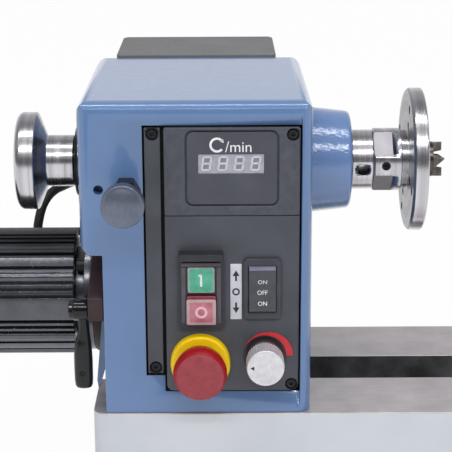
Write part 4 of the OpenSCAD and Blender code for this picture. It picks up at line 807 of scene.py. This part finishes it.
def make_plunger():
    """Threaded body, and a domed knob."""
    softened("plunger_body", 0.5, black_oxide)
    x, r, back, front, steps = -51, 15.8, 32, 52, 8
    outline = arc(back + 0.6, r - 4.6, 0.6, 180, 90, 3)
    outline += [(back + 4, r - 1), (back + 8, r), (front - 4.2, r)] + arc(front - 4.2, r - 1.2, 1.2, 90, 25, 3)
    edge, tilt = r - 1, radians(24)
    ball = edge / sin(tilt)
    outline += [(front - ball * (1 - cos(tilt * k / steps)), ball * sin(tilt * k / steps))
                for k in range(steps, -1, -1)]
    finished("plunger_knob", spun(outline, axis="Z"), slate_steel, at(x, FRONT_Y, SPINDLE_Z) @ TO_FRONT)


# ---- motor and its lock

UPPER_FINS_Z = MOTOR_Z + 38
LEVER_PATH = [  # x, y, z, width and thickness of the arm and paddle, down from the hub
    (-87.7, -82, 77, 8.4, 9.4), (-87.4, -82, 71, 8.2, 9), (-87.2, -82, 66, 8.4, 8.8), (-87.5, -82.2, 60, 9.8, 9),
    (-87.9, -82.8, 54.5, 12, 9.6), (-88.2, -83.4, 49, 13.6, 10.6), (-88.3, -83.6, 44, 14.3, 11.2),
    (-88.3, -83.2, 39, 14.5, 11), (-88.4, -82.6, 32, 14.5, 10.6), (-88.4, -82.2, 23, 14.3, 10.4),
    (-88.4, -82, 18.6, 13.6, 9.8), (-88.4, -82, 16.7, 11.8, 8.2), (-88.4, -82, 15.8, 8, 5)]
LEVER_Y, LEVER_Z = -82, 80         # the lever's axis, which runs along x


def fin_face(face):
    """The upper fins are darker and duller: painted shade on the top of the motor."""
    return 2 if middle_of(face).z > UPPER_FINS_Z else 0


def make_motor():
    softened("motor_housing", 0.25, [black_enamel, black_enamel, shaded_fin_enamel], fin_face)
    for node, width in (("motor_front_bell", 0.8), ("motor_rear_bell", 0.6), ("terminal_box", 1.2)):
        softened(node, width, black_enamel)
    # the plate's maroon tint is a painted reflection
    softened("motor_plate", 0.8, maroon_reflection_iron)


def make_lever():
    """Lever: a slim arm that swells into a squarish paddle, a hub, its nut and a screw."""
    bm = bmesh.new()
    rows, sides, square = [], 32, 0.9
    for x, y, z, width, thick in LEVER_PATH:
        row = []
        for k in range(sides):
            c, d = cos(2 * pi * k / sides), sin(2 * pi * k / sides)
            across, deep = width / 2 * copysign(abs(c) ** square, c), thick / 2 * copysign(abs(d) ** square, d)
            row.append(bm.verts.new((x + across, y + deep, z)))
        rows.append(row)
    skin(bm, rows)
    bm.faces.new(rows[0])
    bm.faces.new(rows[-1][::-1])
    tidy(bm)
    hub = [(-83.2, 5.2), (-83.2, 7.6)] + arc(-84.1, 7.6, 0.9, 0, 90, 3) + arc(-93.8, 7.2, 1.3, 90, 180, 4)
    hub += [(-95.1, 0)]
    join(bm, spun(hub, 64), Matrix.Translation((0, LEVER_Y, LEVER_Z)))
    nut, nut_x, nut_r, nut_h = bmesh.new(), -96.5, 7.2, 3.4
    place = Matrix.Translation((nut_x, LEVER_Y, LEVER_Z)) @ Matrix.Rotation(pi / 2, 4, "Y")
    bmesh.ops.create_cone(nut, cap_ends=True, segments=6, radius1=nut_r, radius2=nut_r, depth=nut_h, matrix=place)
    round_edges(nut, nut.edges[:], 0.5)
    join(bm, nut)
    finished("lock_lever", bm, black_lacquer, at(0, 0, 0), angle=50)
    screw = spun([(0, 2.4), (0.3, 2.4), (0.5, 2.1), (0.5, 1.2), (0.1, 1.0), (0.1, 0)], 32, "Z")
    piece("lever_screw", screw, at(-88.8, -87.6, 29) @ TO_FRONT, "lever", black_oxide)


# ---- control panel

PANEL_SCREWS, SCREW_REACH = [(-31.5, 220.1), (-31.5, 37.7), (72.2, 220.1), (72.2, 24.5)], 5.5
SEGMENTS = [(0, 1, 0), (0, 0, 0), (0, -1, 0), (-1, 0.5, 1), (1, 0.5, 1), (-1, -0.5, 1), (1, -0.5, 1)]
ROCKER = (49.8, 101.9)


def plate_face(face):
    """Painted shade in the counterbores of the screws, the plate's own colour elsewhere."""
    middle = middle_of(face)
    away = min(hypot(middle.x - x, middle.z - z) for x, z in PANEL_SCREWS)
    return 1 if away < SCREW_REACH and abs(face.normal.y) < 0.3 else 0


def make_plates():
    for node, plastic in (("panel_strip", panel_abs), ("display_plate", display_abs), ("switch_plate", panel_abs)):
        eased(node, 0.6, [plastic, gap_shade], plate_face)
    softened("panel_screws", 0.2, black_oxide)


def make_display():
    """Sunken bezel with its window, four unlit digits and the unit of speed."""
    softened("display_bezel", 0.5, bezel_abs, segments=3)
    softened("display_window", 0.2, filter_plastic)
    middle, window, film, ink = (26.6, 198), -0.9, -0.36, 0.2      # heights of the window and the bezel's film
    half_w, half_h, bar, gap, pitch, slant = 2.9, 4.9, 1.5, 0.4, 12.1, 0.14
    lean = Matrix(((1, slant, 0, 0), (0, 1, 0, 0), (0, 0, 1, 0), (0, 0, 0, 1)))
    digits, hollows = bmesh.new(), bmesh.new()
    for d in range(4):
        place = Matrix.Translation((pitch * (d - 1.5), 0.3, window)) @ lean
        join(hollows, pad(2 * half_w, 2 * half_h, 0.4, -0.1, 0.12, 0.0), place)
        for side, level, upright in SEGMENTS:
            length = half_h - gap if upright else 2 * half_w - gap
            shape = pad(bar if upright else length, length if upright else bar, 0.45, 0, 0.25, 0.1, 1)
            join(digits, shape, place @ Matrix.Translation((side * half_w, level * half_h, 0)))
    piece("display_hollows", hollows, on_panel(middle), "base", hollow_plastic)
    piece("display_digits", digits, on_panel(middle), "base", segment_plastic)
    mid_r, half, tip = 4.8, 0.85, 37
    mark = flat_ring(mid_r - half, mid_r + half, 40, 318, 0, ink, 32)
    join(mark, arrow_head(1.7, 0, ink, polar(mid_r, tip), tip - 90))
    piece("unit_turn_mark", mark, on_panel((16.3, 212.4), film), "base", white_ink)
    piece("unit_words", lettering("/min", 11.4, ink), on_panel((31.9, 211), film + ink / 2), "base", white_ink)


def make_switches():
    """Push buttons: coloured plates under milky caps, in a smoked frame below a black hood."""
    x, face, deep, corner = 3.8, 4.0, -6, 1.5
    housing = cad_copy("switch_housing")
    hood = [e for e in hard_edges(housing) if all(v.co.y < (PANEL_Y - face - 0.5) * MM for v in e.verts)]
    round_edges(housing, hood, 0.5 * MM, 3)
    finished("switch_housing", housing, black_plastic)
    bars = bmesh.new()
    side = (3.2, 44.4)
    for size, spot in (((29.7, 3.0), (0, 22.4, 0)), (side, (-13.25, -1.6, 0)), (side, (13.25, -1.6, 0))):
        join(bars, pad(*size, 0.4, face - 0.3, face + 1.0, 0.3, 2), Matrix.Translation(spot))
    piece("switch_frame", bars, on_panel((x, 99.6)), "base", smoked_plastic)
    start, top = on_panel((x, 110)), 5.6
    finished("start_button", pad(20.5, 20.3, corner, deep, top, 1.0), milky_cap, start)
    piece("start_plate", pad(17.4, 17.6, 0.8, top - 0.2, top + 0.15, 0.2, 2), start, "start", green_pc)
    bar = pad(1.5, 9.6, 0.4, top + 0.1, top + 0.35, 0.1, 1)
    flag = Matrix.Translation((-1.1, 3.9, 0)) @ Matrix.Rotation(0.6, 4, "Z")
    join(bar, pad(2.0, 1.3, 0.3, top + 0.1, top + 0.35, 0.1, 1), flag)
    piece("start_mark", bar, start, "start", white_ink)
    stop, low, top = on_panel((x, 86.4)), Matrix.Translation((0, -0.9, 0)), 8.0
    wide, tall, rim = 22.3, 20.2, 7.4
    body = pad(wide, 22, corner, deep, 5.0, 0.8)
    join(body, pad(wide, tall, corner, 4.5, rim, 0.0), low)
    finished("stop_button", body, red_pc, stop)
    piece("stop_cap", pad(wide, tall, corner, rim, top, 0.5), stop @ low, "stop", milky_pink_cap)
    piece("stop_plate", pad(17.2, 15.8, 0.8, top - 0.2, top + 0.15, 0.2, 2), stop @ low, "stop", pink_pc)
    piece("stop_mark", flat_ring(2.8, 4.6, 0, 360, top + 0.1, top + 0.35, 40), stop @ low, "stop", pink_ink)


def make_label():
    """Direction label between the switches, with plain arrows for its words."""
    middle, low, high = (30, 99.3), 0.56, 0.68
    finished("label_plate", pad(8.5, 43.8, 0.5, 0, 0.6, 0.15, 2), label_vinyl, on_panel(middle))
    marks = flat_ring(1.7, 2.9, 0, 360, low, high, 36)
    for side in (1, -1):
        join(marks, arrow_head(3.0, low, high, (0, side * 14), side * 90))
        join(marks, pad(1.5, 4.2, 0.2, low, high, 0.0), Matrix.Translation((0, side * 10.6, 0)))
    piece("label_marks", marks, on_panel(middle), "base", dark_ink)


def rocker_face(face):
    """The upper end of the rocker, where it faces up, is paler: a painted highlight."""
    return 2 if middle_of(face).z > ROCKER[1] + 14.5 and face.normal.z > 0.35 else 0


def make_rocker():
    """Rocker in its frame, with words on its slopes."""
    eased("rocker_bezel", 0.6, rocker_frame)
    softened("rocker", 0.4, [rocker_plastic, rocker_plastic, rocker_end_highlight], rocker_face)
    tip, dip, reach, proud = 7.0, 4.0, 13.95, 0.1
    slope = atan((tip - dip) / reach)
    for name, words, y in (("rocker_upper_word", "ON", 6.5), ("rocker_middle_word", "OFF", -2.1),
                           ("rocker_lower_word", "ON", -10.2)):
        high = dip + abs(y) * (tip - dip) / reach + proud
        lean = Matrix.Translation((0, y, high)) @ Matrix.Rotation(copysign(slope, y), 4, "X")
        piece(name, lettering(words, 4.6, 0.25), on_panel(ROCKER) @ lean, "direction", white_ink)


def make_stop():
    """Emergency stop, with plain arrows on its etched face."""
    spot, low, top, r, stem, sides = (2.8, 43.2), 12.5, 33.5, 20.2, 7.1, 112
    softened("estop_ring", 0.5, signal_yellow, segments=3)
    rim = (top - 1.3, r - 2.5)
    outline = [(low + 4, stem), (low, stem), (low, r - 5.4)] + arc(low + 1, r - 5.4, 1, 180, 110, 3)[1:]
    outline += [(low + 1.6, r - 2), (low + 6, r - 1), (top - 9, r), (top - 6.5, r), (top - 4.2, r - 0.5)]
    outline += [(top - 2.4, r - 1.4), rim]
    finished("estop_head", spun(outline, sides, "Z"), stop_red, on_panel(spot))
    face = spun([rim, (top - 0.8, r - 3.4), (top - 0.5, r - 5), (top - 0.2, r - 9), (top, 0)], sides, "Z")
    piece("estop_face", face, on_panel(spot), "estop_twist", stop_red_matt)
    arrows = flat_ring(4.8, 6.0, 0, 360, 0.15, 1.05, 40)
    mid_r, half, tip = 12.1, 1.1, 66
    for k in range(3):
        shape = flat_ring(mid_r - half, mid_r + half, 0, 62, 0, 0.9, 14)
        join(shape, arrow_head(3.0, 0.1, 0.75, polar(mid_r, tip), tip + 90))
        join(arrows, shape, Matrix.Rotation(radians(120 * k + 30), 4, "Z"))
    piece("estop_arrows", arrows, on_panel(spot, top - 0.95), "estop_twist", stop_red_matt)


SPEED = (51.7, 48)


def make_speed_knob():
    """Fluted knob on its shaft, with a black skirt and a pointer."""
    r, base, top, flutes, groove = 14.3, 1.35, 28, 42, 0.6
    skirt, bore = base + 8.5, 3.2
    outline = [(skirt, 3.1), (skirt, r - 0.8), (skirt + 0.6, r), (top - 2.6, r), (top - 1.2, r - 0.3)]
    outline += arc(top - 0.9, r - 1.2, 0.9, 90, 0, 3)
    outline += [(top - 0.02, r - 3), (top - 0.15, r - 3.4), (top - 0.15, 0)]
    knob = spun(outline, 2 * flutes, "Z")
    for v in knob.verts:
        if skirt + 0.5 < v.co.z < top - 2 and round(atan2(v.co.y, v.co.x) * flutes / pi) % 2:
            v.co.xy *= 1 - groove / r
    join(knob, spun([(-19.5, 0), (-19.5, 2.8), (-19.3, 3), (skirt, 3.1)], 32, "Z"))
    ring = spun([(base, bore), (base, r - 0.8), (base + 0.8, r), (skirt - 1, r), (skirt - 0.2, r - 0.7),
                 (skirt - 0.2, bore), (base, bore)], 2 * flutes, "Z")
    piece("speed_knob_skirt", ring, on_panel(SPEED), "speed", black_plastic)
    finished("speed_knob", knob, satin_aluminium, on_panel(SPEED))
    pointer = arrow_head(1.9, -0.08, 0.08, (-9.4, 0), 180)
    piece("speed_pointer", pointer, on_panel(SPEED, top - 0.1), "speed", dark_ink)


def make_scale():
    """Black disc under the knob, and a red crescent."""
    shift, outer, thick, bore, edge, steps = 2.6, 19, 1, 5.4, 0.15, 48
    rim = outer - shift
    disc = spun([(0, bore), (thick, bore), (thick, rim - edge), (thick - edge, rim), (0, rim), (0, bore)], 96, "Z")
    piece("scale_disc", disc, on_panel(SPEED), "base", black_plastic, ["speed_scale"])
    bm = bmesh.new()
    inside, outside = [[bm.verts.new((x + r * cos(pi * i / steps), r * sin(pi * i / steps), 0))
                        for i in range(steps + 1)] for x, r in ((0, rim + 0.05), (shift, outer))]
    for i in range(steps):
        bm.faces.new((inside[i], outside[i], outside[i + 1], inside[i + 1]))
    raise_faces(bm, thick)
    piece("scale_crescent", tidy(bm, 0.01), on_panel(SPEED), "base", red_ink, ["speed_scale"])


# ---- nodes kept as they are

KEPT = (
    (black_oxide, "hold_down_bolts belt_cover_screws cap_screws handwheel_screw motor_pivot_bolt motor_bolts"),
    (black_oxide, "lock_stud lid_screws"),
    (turned_steel, "front_bearing rear_bearing spindle_pulley motor_pulley"),
    (hardened_steel, "index_ring plunger_spring plunger_pin motor_shaft"),
    (black_plastic, "motor_gland box_gland mains_inlet estop_block"),
    (solder_mask, "display_board"), (stop_red, "estop_stem"), (satin_aluminium, "speed_pot"),
)


def finish_kept_nodes():
    for finish, nodes in KEPT:
        for node in nodes.split():
            mesh = frame["nodes"][node].data
            mesh.materials.clear()
            mesh.materials.append(finish)


SCENE.view_settings.view_transform = "Standard"
aim_camera()
light_studio()
lay_floor()
make_lead()
make_belt()
make_bed()
make_castings()
make_turned_parts()
make_plunger()
make_motor()
make_lever()
make_plates()
make_display()
make_switches()
make_label()
make_rocker()
make_stop()
make_speed_knob()
make_scale()
finish_kept_nodes()
